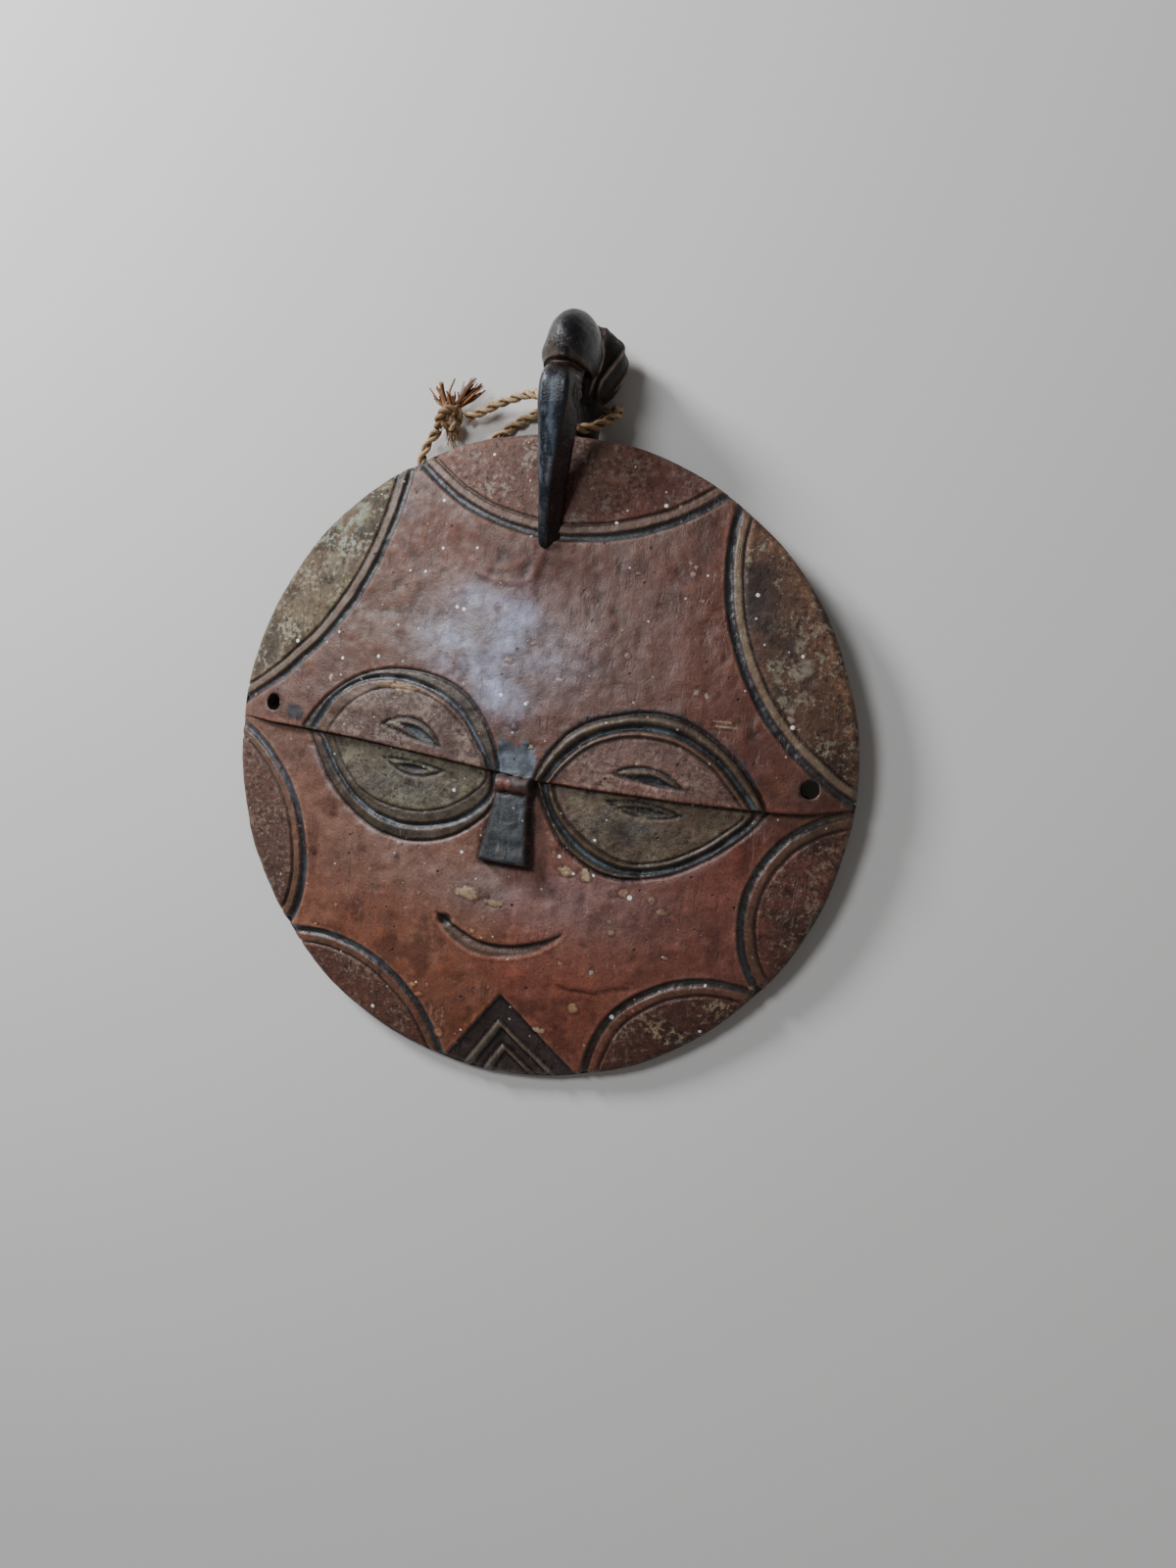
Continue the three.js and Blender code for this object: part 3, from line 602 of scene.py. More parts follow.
EYE_LINE = np.array([(-170, 2), (-147, 2), (-110, 1), (-77, -0.4), (-53, -2), (-35, -3.7), (-12, -6), (11, -8), (47, -8), (92, -8), (115, -7.6), (130, -6), (146, -3), (170, -1)], float)
FIELDS = {
    "top": ((-67, 130), (77, 128), -26.5),
    "upper_left": ((-74.4, 126), (-146, 11.5), 18),
    "upper_right": ((82.9, 124.9), (147.5, 1.5), -22.4),
    "left": ((-146.4, -2.5), (-113, -95.5), 21),
    "right": ((147, -4.7), (118.5, -88), -23),
    "lower_left": ((-110.5, -100), (-26, -146), 18.5),
    "lower_right": ((45, -140), (118, -90), 21),
}
EYES = {
    "left": {
        "outer": [(-110, 1.8), (-102.2, 12.8), (-93.4, 21.8), (-81.9, 29.3), (-71.4, 32.8), (-62, 34.3), (-51.5, 34.4), (-42.1, 32.9), (-32.6, 29.6), (-24.2, 24.1), (-16.7, 15.7), (-11, 5.9), (-8.2, -1.9)],
        "outer_low": [(-7.6, -7), (-8.2, -15), (-10.4, -23.4), (-15.4, -29.6), (-24.3, -36.8), (-34.1, -41.4), (-43.2, -43.5), (-53.8, -44.0), (-65, -41.9), (-75.9, -37.4), (-85.9, -30.2), (-94.8, -21.2), (-101.4, -10.8), (-106.4, -1.8)],
        "blue": [(-104, 1.6), (-101.3, 6.6), (-95.3, 16.7), (-86.4, 24.2), (-76.1, 28.4), (-64, 30.1), (-53.1, 29.4), (-43.7, 27.0), (-35.5, 23.3), (-26.9, 16.8), (-20, 8.2), (-14.4, 0.7)],
        "blue_low": [(-10.8, -6.6), (-10.6, -16.4), (-16, -23.9), (-24.9, -30.4), (-34.9, -34.4), (-45.2, -36.5), (-55.9, -36.7), (-67.1, -34.1), (-77.4, -28.9), (-86.9, -20.4), (-94.2, -11), (-99.4, -2.2)],
        "field": [(-96, 0.8), (-93.6, 5.6), (-87.4, 14.2), (-76.6, 21.9), (-64.9, 25.3), (-51.5, 25.2), (-39.4, 21.6), (-29.6, 14.8), (-22.3, 7.6), (-16.2, -0.9)],
        "field_low": [(-13.4, -6.6), (-14, -11.4), (-17.4, -16.0), (-24.6, -22.0), (-33, -26.9), (-41.9, -29.5), (-51.1, -30.3), (-62.1, -29.2), (-72.1, -26.3), (-79.6, -21.8), (-86, -15.3), (-90.8, -8.5), (-94.2, -1.2)],
    },
    "right": {
        "outer": [(9.6, -7.4), (10.6, -4.4), (13.3, 1.8), (18.6, 10.1), (24.7, 16.6), (33.7, 22.3), (45.5, 26.3), (54.8, 28.3), (64.2, 28.7), (73.8, 26.8), (82.3, 23.2), (91, 17.7), (98.4, 11.9), (104.5, 5.4), (110.1, -1.9)],
        "outer_low": [(113, -8), (108.4, -15.4), (101.2, -23), (93.6, -29.6), (84.5, -36), (75.1, -41), (66, -44.0), (55.4, -46), (49.8, -46.1), (42.7, -44.9), (35.3, -41.8), (27.7, -37.1), (22, -31.2), (16.7, -22.8), (12.4, -14.5)],
        "blue": [(13.6, -7.6), (15.8, -4.4), (20.9, 3.6), (28.3, 11.2), (35.9, 16.3), (45.1, 20), (55.7, 21.9), (66.6, 21.5), (74.8, 19.6), (83.4, 15.5), (92.1, 9.8), (98.5, 3.4), (104.4, -3.2)],
        "blue_low": [(109, -8.6), (106.4, -14.1), (99.6, -21.2), (92.6, -27.7), (83.9, -33.8), (75.1, -38.4), (65.8, -41.3), (57.7, -42.4), (50.8, -42.2), (42.1, -39.8), (33.1, -35.1), (25.3, -28.6), (18.6, -20.5), (15.2, -13)],
        "field": [(17.4, -8.2), (19.2, -4.6), (23.4, 1.2), (30, 8.2), (37.2, 13.0), (46, 16.4), (55.7, 18), (66, 17.7), (73.6, 16.0), (81.6, 12.1), (89.8, 6.9), (95.8, 0.8), (101.2, -5)],
        "field_low": [(104.6, -9.4), (102.6, -13.4), (96.6, -19), (90, -25), (82, -30.6), (73.6, -35), (65, -37.7), (57.7, -38.9), (49.2, -37.6), (41.6, -34.4), (34.1, -30.2), (26, -23.6), (20.4, -15.6)],
    },
}
LIDS = [
    ((-68, 8), (-36.5, 1.3), 8.6, 1.2), ((-67, -7), (-34, -9.3), 1.4, 6.0),
    ((43.3, 0.2), (77, -2.6), 6.6, 1.0), ((42, -12.0), (77.3, -14.4), 2.8, 4.6),
]
SLOTS = [
    ((-57.5, 9.4), (-39.5, 2.8), 2.6, 1.6), ((-58.6, -9.8), (-42.3, -10.2), 1.6, 2.0),
    ((54.6, 0.4), (71.5, -2.2), 2.4, 1.4), ((51.3, -13.8), (71.6, -14.6), 1.6, 2.0),
]
MOUTH_UP = [(-31.4, -75.9), (-27, -78.2), (-22.2, -80.6), (-12.7, -84.6), (-5, -85.9), (2.5, -85.8), (9.8, -84.2), (16.9, -81.7), (23.9, -78.6), (29.7, -75.1)]
MOUTH_LOW = [(29.4, -77.2), (27, -79.8), (22.9, -83.2), (17.4, -86.6), (10.3, -89.8), (1.5, -91.9), (-7.5, -92.5), (-15.2, -91.2), (-21.6, -88.3), (-26.8, -84.4), (-31.6, -79.6)]
CHIN = [
    [(-33.8, -160), (2.6, -109.0), (62, -160)], [(-22.4, -160), (2.1, -122.6), (50.9, -160)], [(-16.9, -160), (4.3, -126.5), (45.5, -160)],
    [(-11.7, -160), (4.7, -134.4), (37.5, -160)], [(-5.5, -160), (6.5, -137.8), (33.4, -160)],
]
# worn spots and scars: (u, v), half sizes, colour
SPOTS = [
    ((-17.0, -63.9), (5.6, 2.9), (0.38, 0.27, 0.16)), ((-3.9, -66.4), (4.0, 1.4), (0.33, 0.22, 0.13)), ((28.7, -46.8), (3.6, 2.1), (0.38, 0.28, 0.17)), ((37.2, -46.9), (2.5, 3.0), (0.40, 0.31, 0.20)),
    ((55.4, -52.5), (2.1, 2.0), (0.32, 0.19, 0.125)), ((68.1, -54.0), (1.8, 1.8), (0.29, 0.20, 0.13)), ((73.2, -58.6), (2.8, 1.1), (0.33, 0.23, 0.14)), ((50.2, -66.5), (1.2, 1.3), (0.26, 0.19, 0.125)), ((51.9, -71.5), (1.5, 1.5), (0.25, 0.18, 0.115)),
    ((77.1, -79.2), (1.5, 0.9), (0.45, 0.31, 0.20)), ((-13.2, -81.6), (1.2, 1.2), (0.38, 0.24, 0.12)), ((37.9, -110.5), (2.4, 2.4), (0.35, 0.22, 0.12)), ((-42.4, -113.8), (2.6, 1.3), (0.34, 0.165, 0.085)), ((-38.6, -118.0), (2.6, 1.4), (0.34, 0.165, 0.085)),
    ((-31.5, -124.6), (0.8, 3.4), (0.27, 0.135, 0.072)), ((-28.6, -126.4), (0.7, 3.6), (0.28, 0.14, 0.075)), ((-25.6, -124.8), (0.7, 3.0), (0.26, 0.13, 0.070)), ((-27.4, -135.8), (2.9, 2.4), (0.35, 0.18, 0.095)), ((22.2, -123.9), (3.6, 1.4), (0.52, 0.43, 0.31)),
    ((29.8, -89.6), (1.2, 0.9), (0.36, 0.21, 0.125)), ((44.7, -91.2), (1.2, 1.1), (0.36, 0.33, 0.30)), ((-3.3, -107.3), (1.0, 1.0), (0.36, 0.175, 0.09)), ((-41.5, -68.3), (1.1, 0.9), (0.29, 0.175, 0.11)), ((-47.7, -76.7), (1.0, 1.0), (0.26, 0.155, 0.10)),
    ((-8.5, -74.6), (1.1, 1.0), (0.26, 0.175, 0.125)), ((-85.5, -82.1), (1.1, 1.1), (0.27, 0.175, 0.12)), ((-53.7, -46.2), (1.3, 1.0), (0.33, 0.26, 0.215)), ((116.2, -87.5), (1.3, 1.2), (0.34, 0.27, 0.17)), ((22.0, -38.8), (1.3, 0.8), (0.25, 0.15, 0.09)),
    ((-9.3, 44.6), (2.2, 1.4), (0.26, 0.195, 0.165)), ((15.7, 38.6), (2.1, 0.9), (0.34, 0.26, 0.23)), ((44.2, 52.3), (1.4, 1.4), (0.22, 0.165, 0.12)), ((0.3, 53.0), (1.1, 0.9), (0.25, 0.15, 0.10)), ((81.0, 39.5), (1.0, 1.7), (0.33, 0.25, 0.20)), ((76.4, 40.2), (1.0, 1.4), (0.24, 0.165, 0.12)),
    ((67.1, 91.5), (1.3, 0.9), (0.34, 0.245, 0.175)), ((68.1, 94.8), (0.9, 0.8), (0.38, 0.29, 0.21)), ((43.4, 89.3), (1.2, 0.6), (0.34, 0.23, 0.145)), ((-42.9, 63.7), (1.2, 1.1), (0.20, 0.14, 0.105)), ((-97.7, 26.6), (1.0, 1.7), (0.46, 0.35, 0.24)),
    ((-2.6, 15.0), (1.5, 1.1), (0.17, 0.17, 0.19)), ((6.4, 7.2), (1.4, 1.2), (0.52, 0.38, 0.25)), ((-58.3, 25.9), (5.8, 1.6), (0.33, 0.22, 0.125)), ((89.4, 28.9), (5.0, 0.42), (0.33, 0.25, 0.175)), ((90.4, 27.0), (4.8, 0.38), (0.33, 0.25, 0.175)),
]
# single round drops of white paint: (u, v), radius
DROPS = [
    ((58.3, -54.4), 1.15), ((24.9, -40.3), 0.85), ((31.6, -46.9), 0.65), ((41.4, -46.6), 0.65), ((-21.9, -45.9), 0.75), ((40.0, -30.3), 0.7), ((-37.7, 65.6), 0.9), ((-34.7, 65.2), 0.95), ((-49.7, 92.1), 0.75), ((-10.6, 28.5), 0.95), ((2.3, 25.7), 0.9),
    ((-33.3, 93.7), 0.65), ((-53.9, 114.3), 0.8), ((29.3, 110.7), 0.8), ((-56.8, 81.4), 0.7), ((-92.4, 36.5), 0.8), ((55.6, -111.2), 1.1), ((-33.6, 137.3), 0.75), ((-64.7, 80.4), 0.55), ((-16.0, -131.2), 0.55),
]
WEDGE = np.array([(-7, -15.2), (8, -15.2), (11, -46.4), (-12.1, -46.4)], float)
HOLES = [((-129, 11), 4.25), ((130, 4.7), 4.25)]
NOTCHES = [(58.2, 1.1, 2.4), (114.8, 1.0, 1.6), (119.0, 2.6, 2.8), (219.9, 1.9, 2.4), (323.5, 1.9, 2.4), (176.2, 1.0, 2.2), (359.0, 1.1, 2.2), (257.2, 0.7, 2.0)]


def eye_line(u):
    return np.interp(u, EYE_LINE[:, 0], EYE_LINE[:, 1])


def dome(r):
    r = np.asarray(r, float)
    return np.where(r < R, RISE * (1 - np.clip(r / R, 0, 1) ** FALL), -RISE * FALL * (r - R) / R)


def poly_inside(p, poly):
    """Signed distance inside a convex polygon given clockwise or anticlockwise."""
    poly = np.asarray(poly, float)
    area = 0.5 * np.sum(poly[:, 0] * np.roll(poly[:, 1], -1) - np.roll(poly[:, 0], -1) * poly[:, 1])
    d = np.full(len(p), 1e9)
    for k in range(len(poly)):
        a, b = poly[k], poly[(k + 1) % len(poly)]
        t = (b - a) / np.linalg.norm(b - a)
        n = np.array([-t[1], t[0]]) * np.sign(area)
        d = np.minimum(d, (p[:, :2] - a) @ n)
    return d


def outline(p, up, low, reach=9.0):
    """Signed distance inside a closed outline with a pointed corner at each end of its two smooth sides."""
    a, b = curve(up, 1.2), curve(low, 1.2)
    line = np.concatenate([a, b, a[:1]])
    lo, hi = line.min(0) - reach, line.max(0) + reach
    near = ((p[:, :2] > lo) & (p[:, :2] < hi)).all(1)
    out = np.full(len(p), -reach)
    q = p[near, :2]
    best, within = np.full(len(q), 1e9), np.zeros(len(q), bool)
    for k in range(len(line) - 1):
        s, e = line[k], line[k + 1]
        d = e - s
        rel = q - s
        t = np.clip((rel @ d) / max(d @ d, 1e-12), 0, 1)
        off = rel - t[:, None] * d
        best = np.minimum(best, np.hypot(off[:, 0], off[:, 1]))
        if d[1] != 0:
            cross = ((s[1] > q[:, 1]) != (e[1] > q[:, 1])) & (q[:, 0] < s[0] + d[0] * (q[:, 1] - s[1]) / d[1])
            within ^= cross
    out[near] = np.where(within, best, -np.minimum(best, reach))
    return out


def rim_radius(angle):
    """The outline: a circle cut by hand, with small nicks between the fields."""
    r = R - 0.35 + 0.35 * np.sin(3 * angle + 1.1) * 0.6 + 0.22 * np.sin(11 * angle + 0.4) + 0.15 * np.sin(23 * angle + 2.0)
    for deg, deep, half in NOTCHES:
        d = (np.degrees(angle) - deg + 180) % 360 - 180
        r = r - deep * np.clip(1 - np.abs(d) / math.degrees(half / R), 0, 1)
    return r


def measure(p):
    """Everything that shape and colour need to know about points (u, v) of the face."""
    m = {"p": p, "r": np.hypot(p[:, 0], p[:, 1])}
    m["wob"] = noise(p, 26, 3) * 0.45 + noise(p, 9, 4) * 0.22
    m["step"] = p[:, 1] - eye_line(p[:, 0]) - noise(p, 18, 9) * 0.3
    m["up"] = m["step"] > 0
    for name, (a, b, sag) in FIELDS.items():
        m[name] = inside(p, circle_of(a, b, sag)) + m["wob"]
    for name, e in EYES.items():
        m["eye_" + name] = outline(p, e["outer"], e["outer_low"]) + m["wob"] * 0.3
        m["iris_" + name] = outline(p, e["blue"], e["blue_low"]) + m["wob"] * 0.3
        m["field_" + name] = outline(p, e["field"], e["field_low"]) + m["wob"] * 0.3
    m["lids"] = np.stack([almond(p, *e) + m["wob"] * 0.4 for e in LIDS], 1)
    m["slots"] = np.stack([almond(p, *e) + m["wob"] * 0.3 for e in SLOTS], 1)
    m["mouth"] = outline(p, MOUTH_UP, MOUTH_LOW)
    m["lip"] = np.abs(along(p, curve(MOUTH_UP, 2))[0])
    m["blob"] = 3.5 + 0.4 * noise(p, 3, 12) - np.hypot(p[:, 0] + 27.4, (p[:, 1] + 78.4) * 1.1)
    m["chin"] = np.stack([-poly_inside(p, c) for c in CHIN], 1)
    m["wedge"] = poly_inside(p, WEDGE)
    return m


def spot_mask(p):
    """Above 0 inside each worn spot; ragged edges."""
    out = []
    for i, (centre, size, tone) in enumerate(SPOTS):
        near = (np.abs(p[:, 0] - centre[0]) < size[0] * 2.2 + 3) & (np.abs(p[:, 1] - centre[1]) < size[1] * 2.2 + 3)
        k = np.full(len(p), -9.0)
        q = p[near]
        k[near] = 1 - np.hypot((q[:, 0] - centre[0]) / size[0], (q[:, 1] - centre[1]) / size[1]) + (0.38 * noise(q, 2.4, 200 + i) + 0.24 * noise(q, 1.2, 240 + i)) * min(1.0, max(size) / 2.5)
        out.append(k)
    return out


# small marks left in the forehead and cheeks: (line, half width, height)
CREASES = [
    (curve([(-30, 83), (-22, 80.5), (-12, 80), (-5, 82.5), (-2.5, 89), (-2, 96)]), 1.5, 0.7),
    (curve([(-34, 88), (-26, 85.5), (-17, 86), (-9, 90)]), 1.6, 0.5),
    (curve([(-6, 96), (-4.5, 90), (-5.5, 85)]), 1.3, 0.55),
    (curve([(20, 78), (23, 73), (24.5, 67)]), 1.0, -0.35),
    (curve([(26, 80), (28, 74)]), 0.9, -0.3),
    (curve([(-78, 92), (-70, 84), (-64, 74), (-66, 66)]), 4.0, 0.8),
    (curve([(-92, 66), (-84, 62), (-76, 60), (-68, 64)]), 3.6, -0.5),
    (curve([(29.5, -100.5), (36, -101.5), (47, -101), (56, -97.5), (62, -96.5)]), 0.75, -0.35),
    (curve([(86, 27.5), (95, 28)]), 0.6, -0.25),
    (curve([(85, 25), (94, 25.6)]), 0.6, -0.25),
    (curve([(-60, 96), (-40, 104), (-20, 100)]), 5.0, 0.45),
    (curve([(40, 96), (56, 90), (70, 84)]), 5.0, 0.4),
]


def relief(m, fine=True):
    """Height of the front surface."""
    p, r = m["p"], m["r"]
    edge = smooth(R - r, 0, 22)
    h = dome(r)
    brow = BROW * np.exp(-((p[:, 1] / BROW_FADE) ** 2)) * edge
    # the upper half stands proud: a small rounded lip over a thin undercut line
    h = h + np.where(m["up"], brow * smooth(m["step"], 0, 0.25), 0) - 0.10 * hump((m["step"] + 0.4) / 0.6) * smooth(r, 152, 140)
    h = h + np.where(m["up"], -0.35 * np.clip(1 - m["step"] / 1.6, 0, 1) ** 2, 0)
    carve = np.zeros(len(p))
    lens = np.full(len(p), -1e9)
    for name in FIELDS:
        s = m[name]
        deep = 1.5 * (1 + 0.18 * noise(p, 14, 21) + (0.06 + 0.16 * smooth(p[:, 0], 30, 80)) * noise(p, 1.7, 25) + 0.10 * noise(p, 3.6, 26))
        carve = np.minimum(carve, -deep * smooth(2.35 - np.abs(s + 0.1), 0, 1.5))
        carve = np.where((s > 1.9) & (s < 5.8), np.maximum(carve, 0.0) + 0.95 * hump((s - 3.8) / 2.1), carve)
        carve = np.minimum(carve, np.where(s > 5.2, -0.85 * hump((s - 6.1) / 1.15), carve))
        lens = np.maximum(lens, s)
    carve = carve + 0.35 * smooth(lens, 7.0, 15)
    for name in EYES:
        out, inn, fld = m["eye_" + name], m["iris_" + name], m["field_" + name]
        carve = np.minimum(carve, -1.0 * hump((out + 0.1) / 1.25))
        t = np.clip((out - 0.8) / np.maximum((out - 0.8) + (-inn - 1.5), 0.3), 0, 1)
        carve = carve + np.where((out > 0.8) & (inn < -1.5), 1.35 * np.sin(np.pi * t) ** 0.9, 0)
        carve = np.where(np.abs(inn) < 1.75, np.minimum(carve, -1.45 * (1 + 0.15 * noise(p, 11, 23)) * hump(inn / 1.9)), carve)
        t = np.clip((inn - 1.5) / np.maximum((inn - 1.5) - fld, 0.3), 0, 1)
        carve = carve + np.where((inn > 1.5) & (fld < 0), 1.0 * np.sin(np.pi * t) ** 0.9, 0)
        carve = carve - 0.5 * hump((fld - 0.2) / 0.9) + 0.65 * smooth(fld, 2, 16)
    for k in range(4):
        d, s = m["lids"][:, k], m["slots"][:, k]
        carve = carve - 0.75 * hump((d - 0.6) / 1.15) + 0.5 * smooth(d, 1.6, 2.6) * smooth(-s, 0.2, 1.0)
        carve = carve - 1.3 * smooth(s, -0.2, 0.7)
    h = h + carve
    # chin: a wide sunk band, then two rounded ridges, one inside the other
    ch = [-m["chin"][:, k] for k in range(5)]
    h = h - 1.45 * smooth(ch[0], -0.1, 0.8)
    for k in (1, 3):
        span = np.clip(ch[k], 0, None) + np.clip(-ch[k + 1], 0, None)
        t = np.clip(ch[k] / np.maximum(span, 0.5), 0, 1)
        h = h + np.where((ch[k] > 0) & (ch[k + 1] < 0), 1.5 * np.sin(np.pi * t) ** 0.7, 0)
    h = h + 0.45 * smooth(ch[2], 0.3, 2.0) * smooth(-ch[3], 0.6, 2.4) + 0.75 * smooth(ch[4], 0.2, 2.0)
    # mouth: a gouged crescent, steep under the upper edge, with a round hole at its left end
    ms = m["mouth"]
    h = h - 1.35 * smooth(ms, -0.2, 0.9) * (0.22 + 0.78 * (1 - smooth(m["lip"], 0.6, 4.6))) * (1 - 0.55 * smooth(p[:, 0], 12, 28)) + 0.25 * hump((ms + 1.1) / 1.2) * (m["lip"] > 1.5)
    h = h - 1.3 * smooth(m["blob"], -0.8, 2.2)
    # nose: wedge and roll
    w = m["wedge"]
    top = 22.4 + 0.5 * np.cos(p[:, 0] / 7) - 0.03 * (p[:, 1] + 46) + noise(p, 7, 31) * 0.22
    h = np.where(w > -0.7, h + (top - h) * smooth(w, -0.7, 0.25) - np.where(w > 0, 0.9 * np.exp(-w / 0.9), 0.0) * 0.8, h)
    dv = (p[:, 1] + 10.7) / (4.1 + 0.25 * np.sin(p[:, 0] * 0.9))
    du = np.clip((np.abs(p[:, 0] - 0.2) - 7.0) / 1.7, 0, 1)
    roll = dome(10) + 2.4 + 4.0 * np.sqrt(np.clip(1 - dv * dv, 0, 1)) * np.sqrt(1 - du * du * 0.999) - 0.35 * hump((p[:, 0] + 2.4) / 0.8) * 1.0
    on_roll = (np.abs(dv) < 1) & (np.abs(p[:, 0] - 0.2) < 8.7)
    h = np.where(on_roll, np.maximum(h, roll), h)
    # paint patch above the roll is a shallow scoop
    h = h - 0.4 * smooth(9.6 - np.abs(p[:, 0]), 0, 2.4) * smooth(p[:, 1], -6.5, -4) * (1 - smooth(p[:, 1] + 2.0 * noise(p, 4.2, 91), 4, 9.5))
    for line, half, high in CREASES:
        near = (np.abs(p[:, 0] - line[:, 0].mean()) < 30) & (np.abs(p[:, 1] - line[:, 1].mean()) < 30)
        d = np.full(len(p), 99.0)
        d[near] = np.abs(along(p[near], line)[0])
        h = h + high * hump(d / (half * 1.6))
    for k in spot_mask(p):
        h = h + 0.16 * smooth(k, -0.05, 0.25) - 0.16 * hump((k + 0.25) / 0.3)
    # worked by adze and knife, then rubbed
    face = 1 - smooth(lens, -3, 1)
    h = h + 0.62 * fbm(p, 46, 3, 41) * (0.4 + 0.6 * face) + (0.18 + 0.30 * face) * fbm(p, 15, 3, 42) + 0.11 * fbm(p, 4.4, 2, 43)
    h = h - 0.42 * np.abs(noise(p, (27, 30, 9), 44)) * face + 0.20 * np.abs(noise(p, 11, 45)) * face - 0.28 * smooth(noise(p, 5.2, 46), 0.45, 0.75)
    h = h + 0.055 * noise(p, 2.7, 47) + 0.035 * noise(p, 1.8, 48) + 0.09 * smooth(lens, 6.6, 7.6) * noise(p, 2.2, 49)
    # the front edge is rubbed round
    rr = m["rim"] - r
    h = h - 1.5 * np.clip(1 - rr / 2.6, 0, 1) ** 2
    return h


# ---------------------------------------------------------------- the front: a mesh that is fine where the carving is
def sites():
    """Points of the front: close together near the cut lines, and wide apart between them."""
    def spacing(p, m):
        near = np.full(len(p), 1e9)
        for name in FIELDS:
            s = m[name]
            near = np.minimum(near, np.where(s < 0, np.maximum(0, -s - 3), np.maximum(0, s - 8.6)))
        for name in EYES:
            o, i = m["eye_" + name], m["iris_" + name]
            near = np.minimum(near, np.maximum(0, np.maximum(-o - 1.5, m["field_" + name] - 1.5)))
        near = np.minimum(near, np.maximum(0, np.abs(m["step"]) - 1.8))
        near = np.minimum(near, np.maximum(0, -m["lids"] - 1.0).min(1))
        near = np.minimum(near, np.maximum(0, -m["mouth"] - 1))
        near = np.minimum(near, np.maximum(0, -m["wedge"] - 1.2))
        near = np.minimum(near, np.maximum(0, m["chin"][:, 0] - 1.0))
        near = np.minimum(near, np.maximum(0, m["rim"] - m["r"] - 2.6))
        for centre, size, _ in SPOTS:
            near = np.minimum(near, np.maximum(0, np.maximum(np.abs(p[:, 0] - centre[0]) - size[0] - 0.8, np.abs(p[:, 1] - centre[1]) - size[1] - 0.8)))
        return np.clip(0.80 + 0.18 * near, 0.80, 1.75)

    kept, levels = [], [0.80, 1.10, 1.50]
    for k, s in enumerate(levels):
        n = int(2 * R / s) + 4
        j, i = np.meshgrid(np.arange(-n // 2, n // 2 + 1), np.arange(-n, n + 1))
        p = np.c_[(j.ravel() + 0.5 * (i.ravel() % 2)) * s, i.ravel() * s * math.sqrt(3) / 2]
        p = p[np.hypot(p[:, 0], p[:, 1]) < R]
        rnd = np.random.default_rng(11 + k)
        p = p + rnd.uniform(-0.12, 0.12, p.shape) * s
        m = measure(p)
        m["rim"] = rim_radius(np.arctan2(p[:, 1], p[:, 0]))
        want = spacing(p, m)
        low, high = (0 if k == 0 else levels[k]), (levels[k + 1] if k + 1 < len(levels) else 9)
        take = (want >= low) & (want < high) & (m["r"] < m["rim"] - 0.35)
        for (c, hr) in HOLES:
            take &= np.hypot(p[:, 0] - c[0], p[:, 1] - c[1]) > hr + 0.35
        kept.append(p[take])
    return np.concatenate(kept)


def slope(f, p, e=0.02):
    gx = (f(p + [e, 0]) - f(p - [e, 0])) / (2 * e)
    gy = (f(p + [0, e]) - f(p - [0, e])) / (2 * e)
    n = np.maximum(gx * gx + gy * gy, 1e-6)
    return np.c_[gx / n, gy / n]


print("scene: sites")
pts = sites()
step_f = lambda q: q[:, 1] - eye_line(q[:, 0]) - noise(q, 18, 9) * 0.3
wedge_f = lambda q: poly_inside(q, WEDGE)
SHARP = [(step_f, 0.02), (step_f, 0.30), (wedge_f, -0.7), (wedge_f, 0.25)]
for f, at in SHARP:
    d = f(pts) - at
    near = np.abs(d) < 0.26
    g = slope(f, pts[near])
    pts[near] -= g * d[near, None]
# an even row of points along both edges of the step
for at in (0.02, 0.30):
    u_row = np.arange(-R + 1, R - 1, 0.62)
    q = np.c_[u_row, eye_line(u_row) + at]
    for _ in range(3):
        q[:, 1] = eye_line(q[:, 0]) + noise(q, 18, 9) * 0.3 + at
    q = q[np.hypot(q[:, 0], q[:, 1]) < rim_radius(np.arctan2(q[:, 1], q[:, 0])) - 0.35]
    pts = np.concatenate([pts[np.abs(step_f(pts) - at) > 0.10], q])
# thin out points that ended up on top of each other
key = np.round(pts / 0.2).astype(int)
_, first = np.unique(key, axis=0, return_index=True)
pts = pts[np.sort(first)]

N_RIM, N_HOLE = 1180, 44
ang = np.arange(N_RIM) * 2 * np.pi / N_RIM
rim = rim_radius(ang)[:, None] * np.c_[np.cos(ang), np.sin(ang)]
hole_ang = np.arange(N_HOLE) * 2 * np.pi / N_HOLE
hole_rings = [np.array(c) + (hr + 0.12 * np.sin(3 * hole_ang + k))[:, None] * np.c_[np.cos(hole_ang), np.sin(hole_ang)] for k, (c, hr) in enumerate(HOLES)]


def triangulate(inner, outer, holes):
    p = np.concatenate([outer, *holes, inner])
    n = len(outer)
    edges = [(i, (i + 1) % n) for i in range(n)]
    start = n
    for h in holes:
        edges += [(start + i, start + (i + 1) % len(h)) for i in range(len(h))]
        start += len(h)
    out = delaunay_2d_cdt([Vector(q) for q in p], edges, [], 0, 1e-6, True)
    verts = np.array([tuple(v) for v in out[0]])
    tris = np.array([f for f in out[2] if len(f) == 3])
    mid = verts[tris].mean(1)
    keep = np.ones(len(tris), bool)
    for (c, hr) in HOLES:
        keep &= np.hypot(mid[:, 0] - c[0], mid[:, 1] - c[1]) > hr - 0.25
    origin = [o[0] if len(o) else -1 for o in out[3]]
    where = {o: i for i, o in enumerate(origin) if o >= 0}
    return verts, tris[keep], where


print("scene: front", len(pts))
fv, ft, fw = triangulate(pts, rim, hole_rings)
m = measure(fv)
m["rim"] = rim_radius(np.arctan2(fv[:, 1], fv[:, 0]))
height = relief(m)
front = np.c_[fv, height]

